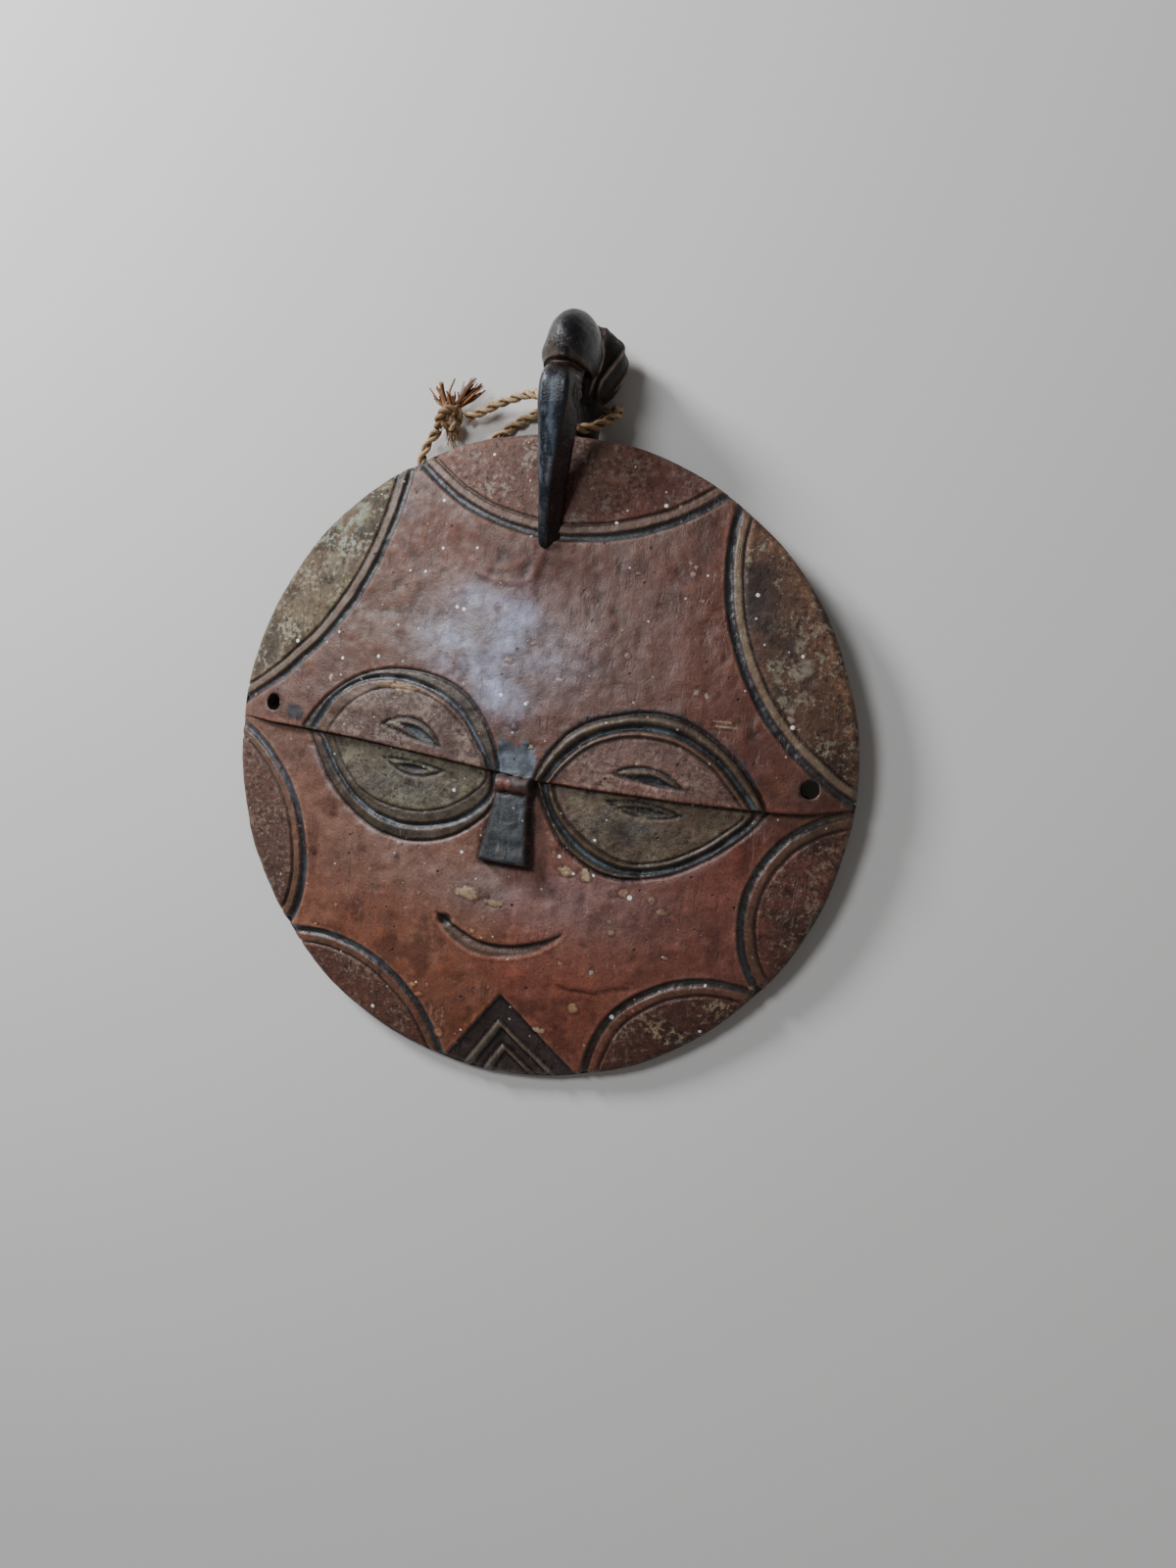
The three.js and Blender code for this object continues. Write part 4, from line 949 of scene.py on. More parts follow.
# ---------------------------------------------------------------- the back: a rough adzed hollow inside a flat ring
def back_height(p):
    r = np.hypot(p[:, 0], p[:, 1])
    hollow = dome(r) - WALL + 0.5 * fbm(p, 30, 2, 61) + 0.35 * np.abs(noise(p, (8, 20, 8), 62)) - 0.3 * np.abs(noise(p, (13, 7, 9), 63))
    ring = RIM_BACK + 0.06 * noise(p, 9, 64)
    return ring + (hollow - ring) * smooth(R - RIM_WIDE + 0.8 - r, -0.6, 2.2)


sb = 2.9
nb = int(2 * R / sb) + 4
j, i = np.meshgrid(np.arange(-nb // 2, nb // 2 + 1), np.arange(-nb, nb + 1))
bp = np.c_[(j.ravel() + 0.5 * (i.ravel() % 2)) * sb, i.ravel() * sb * math.sqrt(3) / 2]
bp = bp + np.random.default_rng(5).uniform(-0.3, 0.3, bp.shape)
br = np.hypot(bp[:, 0], bp[:, 1])
keep = br < R - 3.6
for (c, hr) in HOLES:
    keep &= np.hypot(bp[:, 0] - c[0], bp[:, 1] - c[1]) > hr + 1.3
for radius in (R - RIM_WIDE + 1.2, R - RIM_WIDE - 1.2):
    keep &= np.abs(br - radius) > 1.2
bp = bp[keep]
ring_a = np.arange(420) * 2 * np.pi / 420
bp = np.concatenate([bp] + [radius * np.c_[np.cos(ring_a), np.sin(ring_a)] for radius in (R - RIM_WIDE + 1.2, R - RIM_WIDE - 1.2)])
rim_in = (rim_radius(ang) - 2.1)[:, None] * np.c_[np.cos(ang), np.sin(ang)]
bv, bt, bw = triangulate(bp, rim_in, hole_rings)
back = np.c_[bv, back_height(bv)]

# ---------------------------------------------------------------- joined into one closed skin
verts, tris = [front], [ft]
base_back = len(front)
verts.append(back)
tris.append(bt[:, ::-1] + base_back)
total = base_back + len(back)
front_rim = np.array([fw[i] for i in range(N_RIM)])
back_rim = np.array([bw[i] for i in range(N_RIM)]) + base_back
rows_ = [front_rim]
for off, w in ((0.0, -2.2), (0.05, -4.1), (-0.25, -5.9), (-1.1, -7.4)):
    r = rim_radius(ang) + off + 0.12 * noise(np.c_[rim, np.full(N_RIM, w * 3)], 7, 71)
    verts.append(np.c_[r * np.cos(ang), r * np.sin(ang), np.full(N_RIM, w) + 0.1 * noise(np.c_[rim, np.full(N_RIM, w)], 12, 72)])
    rows_.append(np.arange(N_RIM) + total)
    total += N_RIM
rows_.append(back_rim)


def belt(a, b, flip=False):
    n = len(a)
    k = (np.arange(n) + 1) % n
    t = np.concatenate([np.c_[a, b, b[k]], np.c_[a, b[k], a[k]]])
    return t[:, ::-1] if flip else t


for a, b in zip(rows_[:-1], rows_[1:]):
    tris.append(belt(a, b))
start = N_RIM
for h, ring in enumerate(hole_rings):
    a = np.array([fw[start + i] for i in range(N_HOLE)])
    b = np.array([bw[start + i] for i in range(N_HOLE)]) + base_back
    start += N_HOLE
    za, zb = front[a, 2], back[b - base_back, 2]
    prev = a
    for t in (0.12, 0.35, 0.65, 0.9):
        c = np.array(HOLES[h][0])
        inwards = c + (ring - c) * (1 - 0.035 * math.sin(math.pi * t))
        verts.append(np.c_[inwards, za + (zb - za) * t])
        cur = np.arange(N_HOLE) + total
        total += N_HOLE
        tris.append(belt(prev, cur, True))
        prev = cur
    tris.append(belt(prev, b, True))
V = np.concatenate(verts)
T = np.concatenate(tris)
# lie on the floor: what would pass through it is cut flat there
place = row(V)
low = place[:, 2] < 0
place[low, 2] = 0
print("scene: mask skin", len(V), len(T))


# ---------------------------------------------------------------- colours of the face
SKIN = (0.124, 0.057, 0.041)
SKIN_DARK = (0.055, 0.024, 0.018)
SKIN_RED = (0.112, 0.036, 0.020)
# the grey-violet colour of the painted sheen, a painted highlight on the forehead
PAINTED_SHEEN_GREY = (0.165, 0.142, 0.150)
BLUE = (0.026, 0.031, 0.036)
# a light blue-grey painted highlight on the blue paint of the grooves
BLUE_PAINTED_HIGHLIGHT = (0.135, 0.170, 0.205)
DARK = (0.016, 0.011, 0.009)


def colour_of(m):
    p = m["p"]
    n = len(p)
    big, mid, small, tiny = fbm(p, 70, 3, 81), fbm(p, 24, 4, 82), fbm(p, 7, 3, 83), noise(p, 2.2, 84)
    c = np.tile(np.array(SKIN), (n, 1))
    c = mix(c, (0.118, 0.060, 0.043), 0.75 * gauss(p, (-95, 35), (60, 90)))
    c = mix(c, SKIN_RED, 0.8 * smooth(-p[:, 1], 40, 120) + 0.35 * mid * smooth(-p[:, 1], 20, 60))
    c = mix(c, (0.090, 0.036, 0.027), 0.8 * smooth(p[:, 0], 20, 110))
    c = mix(c, SKIN_DARK, 0.30 * smooth(mid + 0.5 * small, 0.3, 0.9) * (1 - 0.8 * gauss(p, (-10, 55), (45, 32))))
    # the grey-blue painted sheen: a broad, soft painted highlight on the forehead and brow, fainter under the nose and
    # low on the face
    broad_painted_sheen = 0.85 * gauss(p, (-22, 58), (27, 21)) + 0.45 * gauss(p, (-44, 48), (22, 11)) + 0.30 * gauss(p, (20, 50), (28, 24)) + 0.40 * gauss(p, (-8, 32), (20, 18)) + 0.25 * gauss(p, (45, -52), (26, 7)) + 0.18 * gauss(p, (-60, -52), (30, 8)) + 0.42 * gauss(p, (0, -60), (34, 11))
    broad_painted_sheen = broad_painted_sheen * (1 - 0.85 * gauss(p, (4, 90), (26, 12)))
    # a grey-violet painted sheen under the nose and to its right
    c = mix(c, (0.150, 0.118, 0.112), 0.55 * gauss(p, (14, -62), (52, 13)) * (0.7 + 0.4 * mid + 0.3 * small))
    c = mix(c, PAINTED_SHEEN_GREY, broad_painted_sheen * (0.70 + 0.35 * mid + 0.25 * small + 0.15 * tiny))
    # brighter blue painted highlights on the forehead and between the eyes
    bright_painted_sheen = 0.55 * gauss(p, (-44, 54), (10, 9)) + 0.8 * gauss(p, (-29, 71), (10, 7)) + gauss(p, (-10, 62), (9, 13)) + 0.75 * gauss(p, (-27, 43), (14, 8)) + 0.95 * gauss(p, (-15, 31), (10, 8)) + 0.45 * gauss(p, (-3, 23), (8, 7)) + 0.30 * gauss(p, (12, 47), (14, 10))
    c = mix(c, (0.350, 0.390, 0.560), 0.92 * np.clip(bright_painted_sheen, 0, 1.1) * (0.66 + 0.30 * mid + 0.34 * small + 0.34 * tiny))
    # dark red drips and dabs
    drip = noise(p, (9, 16, 9), 98)
    c = mix(c, (0.050, 0.018, 0.013), 0.6 * smooth(drip + 0.25 * small, 0.45, 0.68) * smooth(146 - m["r"], 0, 8) * (1 - 0.8 * gauss(p, (-12, 60), (40, 30))))
    c = mix(c, (0.16, 0.088, 0.056), 0.3 * smooth(noise(p, (6, 8, 9), 99) + 0.3 * tiny, 0.5, 0.75))
    # browner high on the forehead, darker under the top groove, and soft lighter and darker tints over the rest of the
    # face
    c = mix(c, (0.070, 0.022, 0.015), 0.9 * gauss(p, (4, 89), (22, 11)))
    c = c * (1 - np.array([0.0, 0.10, 0.18]) * gauss(p, (-50, 92), (28, 24))[:, None])
    c = c * (1 - np.array([0.13, 0.20, 0.32]) * gauss(p, (-76, 62), (24, 28))[:, None] - np.array([0.02, 0.14, 0.24]) * gauss(p, (-54, 101), (24, 16))[:, None])
    c = c * (1 + 0.13 * gauss(p, (-96, 28), (16, 13))[:, None] + 0.15 * gauss(p, (46, -112), (16, 12))[:, None] - np.array([0.06, 0.14, 0.16]) * gauss(p, (86, -60), (22, 20))[:, None])
    c = c * (1 - 0.22 * gauss(p, (-85, -60), (22, 18))[:, None] - np.array([0.03, 0.14, 0.12]) * gauss(p, (0, -99), (24, 9))[:, None])
    # a grey-violet painted sheen right of the mouth
    c = mix(c, (0.120, 0.086, 0.079), 0.38 * gauss(p, (52, -67), (26, 13)) * (0.8 + 0.4 * small))
    c = c * (1 - np.array([0.10, 0.20, 0.24]) * gauss(p, (-35, 100), (70, 26))[:, None])
    c = mix(c, (0.070, 0.032, 0.024), 0.5 * smooth(mid + 0.35 * small, 0.15, 0.8) * smooth(-p[:, 1], 0, 40))
    low = smooth(-p[:, 1], 12, 48)[:, None]
    c = c * (1 + low * np.where(p[:, :1] < 0, (0.70, 0.74, 0.68), (0.82, 0.62, 0.66)) * (1 - 0.18 * smooth(-p[:, 1], 95, 125))[:, None])
    c = c * (1 + np.array([0.26, 0.26, 0.28]) * gauss(p, (-112, -28), (20, 20))[:, None] + np.array([0.24, 0.06, 0.0]) * gauss(p, (106, -30), (20, 16))[:, None])
    c = c * (1 + smooth(p[:, 0], 40, 95)[:, None] * smooth(p[:, 1], -40, -10)[:, None] * np.array([0.14, -0.06, -0.14]))
    c = mix(c, (0.066, 0.036, 0.024), 0.5 * smooth(m["top"], -12, -3) * (m["top"] < -1) * (0.6 + small))
    # ---- the fields round the rim
    lens = np.full(n, -1e9)
    fleck = np.tile((0.20, 0.150, 0.105), (n, 1))
    for name in FIELDS:
        s = m[name]
        f = s > 6.6
        lens = np.maximum(lens, s)
        if name == "top":
            tone = mix(mix(np.tile((0.115, 0.070, 0.056), (n, 1)), (0.060, 0.030, 0.025), smooth(p[:, 0], 4, 60) * 0.9), (0.16, 0.125, 0.10), 0.5 * smooth(small + 0.4 * tiny, 0.3, 1.0)) * [1.12, 1.0, 0.94] * (1 + 0.35 * smooth(-p[:, 0], 10, 50))[:, None] * (1 + np.array([0.40, 0.05, 0.0]) * smooth(p[:, 0], 12, 40)[:, None])
            tone = mix(tone, (0.20, 0.155, 0.14), 0.35 * gauss(p, (-22, 108), (22, 6)))
            fleck = np.where(f[:, None], mix(np.tile((0.26, 0.215, 0.185), (n, 1)), (0.15, 0.105, 0.085), smooth(p[:, 0], -10, 50)), fleck)
        elif name == "upper_left":
            tone = mix(np.tile((0.165, 0.140, 0.095), (n, 1)), (0.105, 0.080, 0.050), smooth(mid, 0.0, 0.9))
            tone = mix(tone, (0.225, 0.235, 0.185), 0.75 * smooth(small + 0.5 * mid + 0.8 * gauss(p, (-100, 78), (14, 18)), 0.15, 1.0))
            run = np.abs(R - 6.5 - m["r"] + 2.2 * noise(p, 7, 97))
            tone = mix(tone, (0.045, 0.038, 0.026), 0.75 * smooth(noise(p, (8, 8, 8), 102) + 0.4 * small, 0.15, 0.6))
            tone = mix(tone, (0.40, 0.54, 0.47), 0.95 * smooth(gauss(p, (-103, 105), (14, 10)), 0.3, 0.7) * np.maximum(smooth(hump(run / 2.2) + 0.4 * tiny, 0.3, 0.8), 0.7 * smooth(small + 0.3 * tiny, 0.1, 0.5)))
            tone = tone * [0.86, 0.83, 0.74]
            fleck = np.where(f[:, None], mix(np.tile((0.30, 0.285, 0.20), (n, 1)), (0.33, 0.42, 0.35), gauss(p, (-100, 98), (16, 16))), fleck)
        elif name == "upper_right":
            tone = mix(np.tile((0.088, 0.060, 0.038), (n, 1)), (0.030, 0.019, 0.017), 0.9 * smooth(mid + 0.2, 0.0, 0.7))
            tone = mix(tone, (0.175, 0.125, 0.075), 0.8 * smooth(R - m["r"], 16, 2) * smooth(small + 0.3, 0, 0.8))
            shade = 0.8 * gauss(p, (99, 86), (11, 26)) + 0.45 * gauss(p, (112, 62), (8, 22)) + 0.35 * mid + 0.30 * small
            tone = mix(tone, (0.018, 0.012, 0.011), 0.88 * smooth(shade, 0.15, 0.85))
            lichen = smooth(noise(p, 4.2, 121) + 0.55 * noise(p, 2.0, 122), 0.25, 0.6) * smooth(gauss(p, (117, 50), (11, 24)) + 0.6 * gauss(p, (130, 84), (6, 16)), 0.25, 0.7)
            tone = mix(tone, (0.25, 0.32, 0.27), 0.62 * lichen)
            fleck = np.where(f[:, None], mix(np.tile((0.27, 0.255, 0.185), (n, 1)), (0.035, 0.032, 0.030), smooth(shade, 0.15, 0.65)), fleck)
        elif name == "left":
            tone = mix(np.tile((0.088, 0.056, 0.044), (n, 1)), (0.050, 0.030, 0.024), smooth(mid, 0, 0.8))
        elif name == "right":
            tone = mix(np.tile((0.102, 0.047, 0.036), (n, 1)), (0.045, 0.022, 0.018), smooth(mid + 0.2, 0, 0.8))
            tone = mix(tone, (0.14, 0.095, 0.065), 0.5 * smooth(small, 0.2, 0.8) * smooth(R - m["r"], 12, 2))
        elif name == "lower_left":
            tone = mix(np.tile((0.088, 0.047, 0.034), (n, 1)), (0.045, 0.024, 0.018), smooth(mid, -0.1, 0.8))
        else:
            tone = mix(np.tile((0.072, 0.034, 0.026), (n, 1)), (0.030, 0.016, 0.014), smooth(mid + 0.2, 0, 0.8))
            fleck = np.where(f[:, None], mix(np.tile((0.10, 0.070, 0.045), (n, 1)), (0.33, 0.27, 0.16), gauss(p, (78, -118), (17, 13)) + gauss(p, (104, -98), (13, 10))), fleck)
        c = np.where(f[:, None], tone * ([0.86, 0.72, 0.66] if name in ("top", "upper_left") else [1.12, 0.78, 0.68]), c)
        ridge = smooth(s, 1.8, 2.5) * (1 - smooth(s, 5.2, 5.8))
        worn = 0.75 + 0.3 * mid + 0.2 * small
        k_tone = {"top": (0.092, 0.060, 0.040), "upper_left": (0.098, 0.082, 0.052), "upper_right": (0.165, 0.135, 0.088)}.get(name, (0.078, 0.045, 0.028))
        c = mix(c, k_tone, ridge * worn)
        c = mix(c, DARK, 0.45 * smooth(s, 5.1, 5.6) * (1 - smooth(s, 6.3, 7.2)) * (0.7 + 0.45 * small))
        c = mix(c, DARK, 0.38 * hump((s - 2.1) / 0.9))
        ragged = 0.45 * noise(p, 1.8, 93) * smooth(p[:, 0], 20, 90)
        blue = smooth(s + ragged, -2.5, -1.9) * (1 - smooth(s, 1.6, 2.1))
        c = mix(c, {"lower_right": (0.046, 0.040, 0.033), "right": (0.038, 0.037, 0.036)}.get(name, (0.033, 0.036, 0.041)), blue * (0.93 + 0.12 * small))
        # a lighter blue-grey stripe along the groove, stronger on the left: a painted highlight on the blue paint
        c = mix(c, (0.105, 0.130, 0.152), blue * 0.55 * smooth(mid + 0.5 * small + 0.25, 0.0, 1.0) * (0.35 + 0.65 * smooth(-p[:, 0], -70, 40)) * hump((s + 0.9) / 1.5))
        c = mix(c, (0.150, 0.100, 0.066), 0.55 * hump((s + 2.9) / 0.9) * smooth(small + 0.4 * mid + 0.2, 0.0, 0.7))
    # ---- the eyes
    for name in EYES:
        out, inn, fld = m["eye_" + name], m["iris_" + name], m["field_" + name]
        up = m["up"]
        left = name == "left"
        upper = np.tile((0.112, 0.064, 0.053) if left else (0.146, 0.075, 0.060), (n, 1))
        upper = mix(upper, (0.24, 0.18, 0.135), 0.6 * smooth(small + 0.8 * tiny + (0.5 * gauss(p, (-50, 14), (22, 9)) if left else 0), 0.45, 1.0))
        upper = mix(upper, (0.055, 0.026, 0.020), 0.45 * smooth(mid - 0.3 * tiny, 0.2, 0.9))
        lower = np.tile((0.114, 0.092, 0.062) if left else (0.132, 0.086, 0.058), (n, 1))
        lower = mix(lower, (0.185, 0.170, 0.100), 0.75 * smooth(small + 0.6 * tiny + 0.3 * mid, 0.25, 0.85))
        lower = mix(lower, (0.060, 0.066, 0.070), 0.8 * gauss(p, (-54, -20) if left else (56, -24), (20, 6)) * (0.6 + 0.4 * mid))
        lower = mix(lower, (0.030, 0.021, 0.015), 0.6 * smooth(mid - 0.2 * small, 0.1, 0.7))
        field = np.where(up[:, None], upper, lower)
        inner_fleck = np.where(up[:, None], (0.27, 0.20, 0.15), (0.20, 0.19, 0.13) if left else (0.15, 0.13, 0.085))
        fleck = np.where((fld > 0)[:, None], inner_fleck, fleck)
        c = np.where((fld > 0)[:, None], field, c)
        rim_in = (inn > 1.5) & (fld <= 0.4)
        inner = np.where(up[:, None], np.array((0.086, 0.048, 0.032)), np.array((0.054, 0.040, 0.024) if left else (0.054, 0.037, 0.023)))
        inner = mix(inner, (0.24, 0.155, 0.085), 0.8 * gauss(p, (-62, 27.5), (9, 2.5)) + 0.25 * smooth(small, 0.4, 0.9))
        inner = mix(inner, (0.045, 0.034, 0.025), 0.6 * smooth(-mid, 0.1, 0.8))
        c = np.where(rim_in[:, None], inner, c)
        c = mix(c, (0.038, 0.022, 0.015), 0.8 * hump((fld - 0.25) / 0.95))
        band = smooth(out, 0.2, 0.9) * (inn < -1.2)
        olive = mix(np.tile((0.036, 0.028, 0.019) if left else (0.056, 0.041, 0.027), (n, 1)), (0.072, 0.048, 0.029) if left else (0.095, 0.066, 0.040), 0.6 * smooth(small + 0.2, 0, 0.9))
        olive = mix(olive, (0.026, 0.024, 0.020), 0.6 * smooth(mid, 0.0, 0.7))
        c = mix(c, olive, band * 0.95)
        edge_tone = hump(out / 1.3) * (0.75 if left else 0.68)
        c = mix(c, (0.013, 0.010, 0.010), edge_tone)
        fringe = smooth(out + 1.5 * noise(p, 1.9, 95), -3.0, -1.7) * (out < 0.2) * (0.25 * smooth(p[:, 0], -40, -14) if left else smooth(p[:, 1], -2, 6) * (0.85 + 0.5 * noise(p, 9, 96)))
        c = mix(c, (0.024, 0.028, 0.034), np.clip(fringe, 0, 1) * 0.85)
        # a lavender edge outside the lower edges of the eyes: rubbed wear with a painted highlight on it
        rub = gauss(np.c_[out + 2.2, 0 * out], (0, 0), (1.4, 1)) * smooth(-p[:, 1], 4, 14) * (smooth(-p[:, 0], 18, 40) if left else 0.5 * smooth(p[:, 0], 40, 60))
        c = mix(c, (0.21, 0.185, 0.195), 0.55 * rub * smooth(small + 0.4, -0.2, 0.6))
        blue = smooth(inn, -1.9, -1.3) * (1 - smooth(inn, 1.2, 1.7))
        c = mix(c, BLUE, blue * 0.97)
        # a painted highlight along the blue groove round each eye
        c = mix(c, BLUE_PAINTED_HIGHLIGHT, blue * 0.80 * smooth(0.6 * mid + 0.7 * small + 0.35, 0.0, 0.9) * hump((inn + 0.2) / 1.35))
        if left:
            wide = smooth(out, 0.8, 1.6) * (inn < -1.0) * gauss(p, (-92, 18), (14, 14))
            c = mix(c, (0.036, 0.044, 0.050), 0.8 * wide)
    for k in range(4):
        d, s = m["lids"][:, k], m["slots"][:, k]
        c = mix(c, (0.050, 0.040, 0.025), 0.85 * smooth(d, 0.8, 1.8))
        c = mix(c, (0.016, 0.014, 0.011), 0.9 * hump((d - 0.5) / 1.2))
        c = mix(c, {0: (0.125, 0.165, 0.200), 2: (0.075, 0.098, 0.120)}.get(k, (0.034, 0.037, 0.036)), 0.92 * smooth(s, -0.1, 0.5))
        c = mix(c, DARK, 0.6 * hump((s + 0.1) / 0.7))
    c = mix(c, (0.045, 0.055, 0.068), 0.85 * hump(np.hypot((p[:, 0] - 61) / 5.0, (p[:, 1] + 22) / 1.6)))
    c = mix(c, (0.055, 0.062, 0.066), 0.8 * hump(almond(p, (-71, 5.6), (-59, 2), 1.0, 1.0) / 1.4 - 0.7))
    # ---- the step across the face
    c = mix(c, (0.150, 0.058, 0.036), 0.85 * smooth(m["step"], -0.9, -0.4) * (1 - smooth(m["step"], 0.1, 0.45)) * smooth(151 - m["r"], 0, 3))
    c = mix(c, (0.15, 0.078, 0.046), 0.5 * hump((m["step"] + 3.0) / 2.4) * (np.abs(p[:, 0]) > 98))
    # ---- nose, its patch and the roll
    patch = smooth(9.8 + 0.6 * noise(p, 2.6, 90) - np.abs(p[:, 0] - 0.4), 0, 0.9) * smooth(p[:, 1], -7.2, -5.8) * (1 - smooth(p[:, 1] + 5.0 * noise(p, 4.2, 91) + 2.4 * noise(p, 1.8, 94) + 0.030 * (p[:, 0] + 1) ** 2 + 0.26 * p[:, 0], 8.4, 9.8))
    c = mix(c, (0.058, 0.078, 0.100), 0.90 * patch)
    c = mix(c, (0.15, 0.19, 0.235), 0.6 * patch * smooth(small + 0.5 * tiny, -0.1, 0.7))
    c = mix(c, (0.030, 0.035, 0.042), 0.5 * patch * smooth(-small - 0.4 * mid, 0.2, 0.7))
    roll = (np.abs(p[:, 1] + 10.7) < 4.3) & (np.abs(p[:, 0] - 0.2) < 8.9)
    c = mix(c, (0.046, 0.034, 0.032), roll * 0.95)
    c = mix(c, (0.100, 0.034, 0.025), roll * 0.85 * smooth(hump(np.hypot((p[:, 0] + 3.4) / 4.6, (p[:, 1] + 10.4) / 3.4)), 0.05, 0.5))
    c = mix(c, (0.022, 0.014, 0.013), roll * 0.7 * hump((np.hypot((p[:, 0] + 3.4) / 4.6, (p[:, 1] + 10.4) / 3.4) - 0.95) / 0.22))
    c = mix(c, (0.035, 0.030, 0.030), roll * 0.8 * (hump((np.abs(p[:, 0] - 0.2) - 8.2) / 1.4) + hump((p[:, 1] + 14.6) / 1.0)))
    w = m["wedge"]
    c = mix(c, (0.020, 0.023, 0.027), smooth(w, -1.0, -0.3))
    along_w = fbm(p * [1.0, 0.16], 1.1, 3, 100)
    c = mix(c, (0.036, 0.041, 0.046), 0.8 * smooth(w, 0.6, 2.4))
    # painted bluish highlights on the wedge, along its grain
    c = mix(c, (0.095, 0.115, 0.138), 0.6 * smooth(w, 0.8, 2.6) * smooth(0.45 * along_w + 0.3 * small + 0.5 * gauss(p, (1, -22), (6, 8)) + 0.28 * gauss(p, (2, -36), (6, 8)), 0.15, 0.8))
    # a painted red-brown glow of reflected light on the wedge's right and lower edges and in the shade round its foot
    c = mix(c, (0.095, 0.060, 0.044), 0.7 * hump((w - 0.5) / 0.8) * smooth(small + 0.3, 0, 0.8) * (smooth(p[:, 0], 5, 9) + smooth(-p[:, 1], 42, 45)))
    c = mix(c, (0.120, 0.044, 0.026), 0.6 * hump((w + 1.9) / 1.7))
    # ---- mouth
    ms = m["mouth"]
    c = mix(c, (0.050, 0.042, 0.031), 0.88 * smooth(ms, -0.2, 0.8) * (0.85 + 0.3 * small))
    c = mix(c, (0.078, 0.054, 0.036), 0.5 * smooth(ms, 0.0, 0.8) * smooth(m["lip"], 2.4, 4.6) * smooth(small + 0.3, -0.2, 0.7) * (1 - smooth(p[:, 0], 8, 20)))
    c = mix(c, (0.105, 0.050, 0.032), 0.7 * smooth(ms, -0.2, 0.8) * smooth(p[:, 0], 10, 24))
    c = mix(c, (0.042, 0.017, 0.011), 0.85 * hump(m["lip"] / 1.25) * smooth(ms, -1.0, 0.2) * (1 - smooth(p[:, 0], 10, 30) * 0.5))
    c = mix(c, (0.25, 0.165, 0.090), 0.7 * hump((ms + 0.7) / 1.2) * (m["lip"] > 2.6) * smooth(small + 0.5 * tiny + 0.35 * gauss(p, (6, -92), (14, 6)), 0.3, 0.65))
    c = mix(c, (0.034, 0.031, 0.029), 0.9 * smooth(m["blob"], -0.6, 1.2))
    # ---- chin
    c0 = -m["chin"][:, 0]
    c = mix(c, (0.038, 0.030, 0.028), 0.95 * smooth(c0, -0.2, 0.6))
    c = mix(c, (0.018, 0.013, 0.012), 0.55 * smooth(c0, 0.0, 1.0) * smooth(mid + small * 0.5, -0.3, 0.7))
    c = mix(c, (0.070, 0.066, 0.060), 0.45 * smooth(c0, 0.3, 2.0) * gauss(p, (0, -115), (8, 6)))
    for k in (1, 3):
        a_in, b_in = -m["chin"][:, k], -m["chin"][:, k + 1]
        span = np.clip(a_in, 0, None) + np.clip(-b_in, 0, None)
        t = np.clip(a_in / np.maximum(span, 0.5), 0, 1)
        band = np.where((a_in > 0) & (b_in < 0), np.sin(np.pi * t), 0)
        west = smooth(4 - p[:, 0], -4, 4)
        c = mix(c, mix(np.tile((0.120, 0.088, 0.062), (n, 1)), (0.098, 0.082, 0.064), west), 0.92 * smooth(band, 0.15, 0.7) * (0.75 + 0.3 * small))
        c = mix(c, (0.026, 0.008, 0.006), 0.85 * hump((a_in + 0.3) / 0.9) * (c0 > 0) * west)
        c = mix(c, (0.014, 0.010, 0.009), 0.75 * hump(b_in / 0.9) * (c0 > 0))
    c = mix(c, (0.046, 0.034, 0.026), 0.7 * smooth(-m["chin"][:, 4], 0.6, 3.0) * (0.7 + 0.4 * small))
    c = mix(c, (0.125, 0.085, 0.056), 0.6 * hump((c0 - 0.05) / 0.8) * smooth(small, -0.3, 0.5))
    # ---- worn patches, drips and stains
    crack = curve([(29.5, -100.5), (36, -101.5), (47, -101), (56, -97.5), (62, -96.5)])
    near = (np.abs(p[:, 0] - 46) < 22) & (np.abs(p[:, 1] + 99) < 8)
    off = np.full(n, 99.0)
    off[near] = np.abs(along(p[near], crack)[0])
    c = mix(c, (0.050, 0.014, 0.010), 0.7 * hump(off / 1.5))
    k = spot_mask(p)
    for i, (centre, size, tone) in enumerate(SPOTS):
        c = mix(c, np.array((0.050, 0.024, 0.016)), 0.45 * smooth(k[i], -0.5, -0.1) * (1 - smooth(k[i], 0.0, 0.3)))
        c = mix(c, tone, 0.88 * smooth(k[i], -0.05, 0.22) * (0.82 + 0.25 * tiny))
    c = mix(c, (0.028, 0.034, 0.044), 0.92 * smooth(gauss(p, (-115.5, 8), (5.6, 4.2)) + 0.2 * noise(p, 3, 130), 0.42, 0.6))
    for (cx, cy), hr in HOLES:
        d = np.hypot(p[:, 0] - cx, p[:, 1] - cy) - hr
        c = mix(c, (0.035, 0.022, 0.018), 0.8 * np.exp(-np.clip(d, 0, 50) / 1.3))
        c = mix(c, (0.12, 0.06, 0.05), 0.35 * np.exp(-np.clip(d, 0, 50) / 5.0))
    c = mix(c, (0.022, 0.017, 0.014), 0.9 * smooth(gauss(p, (-81, 124.5), (5.0, 3.4)) + 0.2 * small, 0.4, 0.6))
    # ---- edges: rubbed on the high spots of the rim
    rr = m["rim"] - m["r"]
    c = mix(c, (0.120, 0.085, 0.060), 0.55 * hump((rr - 1.4) / 1.8) * smooth(mid + small, -0.4, 0.8))
    c = c * (1 + 0.10 * small + 0.06 * tiny)[:, None] * (1 + 0.05 * big)[:, None]
    return c, lens, fleck


print("scene: colours")
col_front, lens, fleck_front = colour_of(m)
n_rest = len(V) - len(front)
rest = V[len(front):]
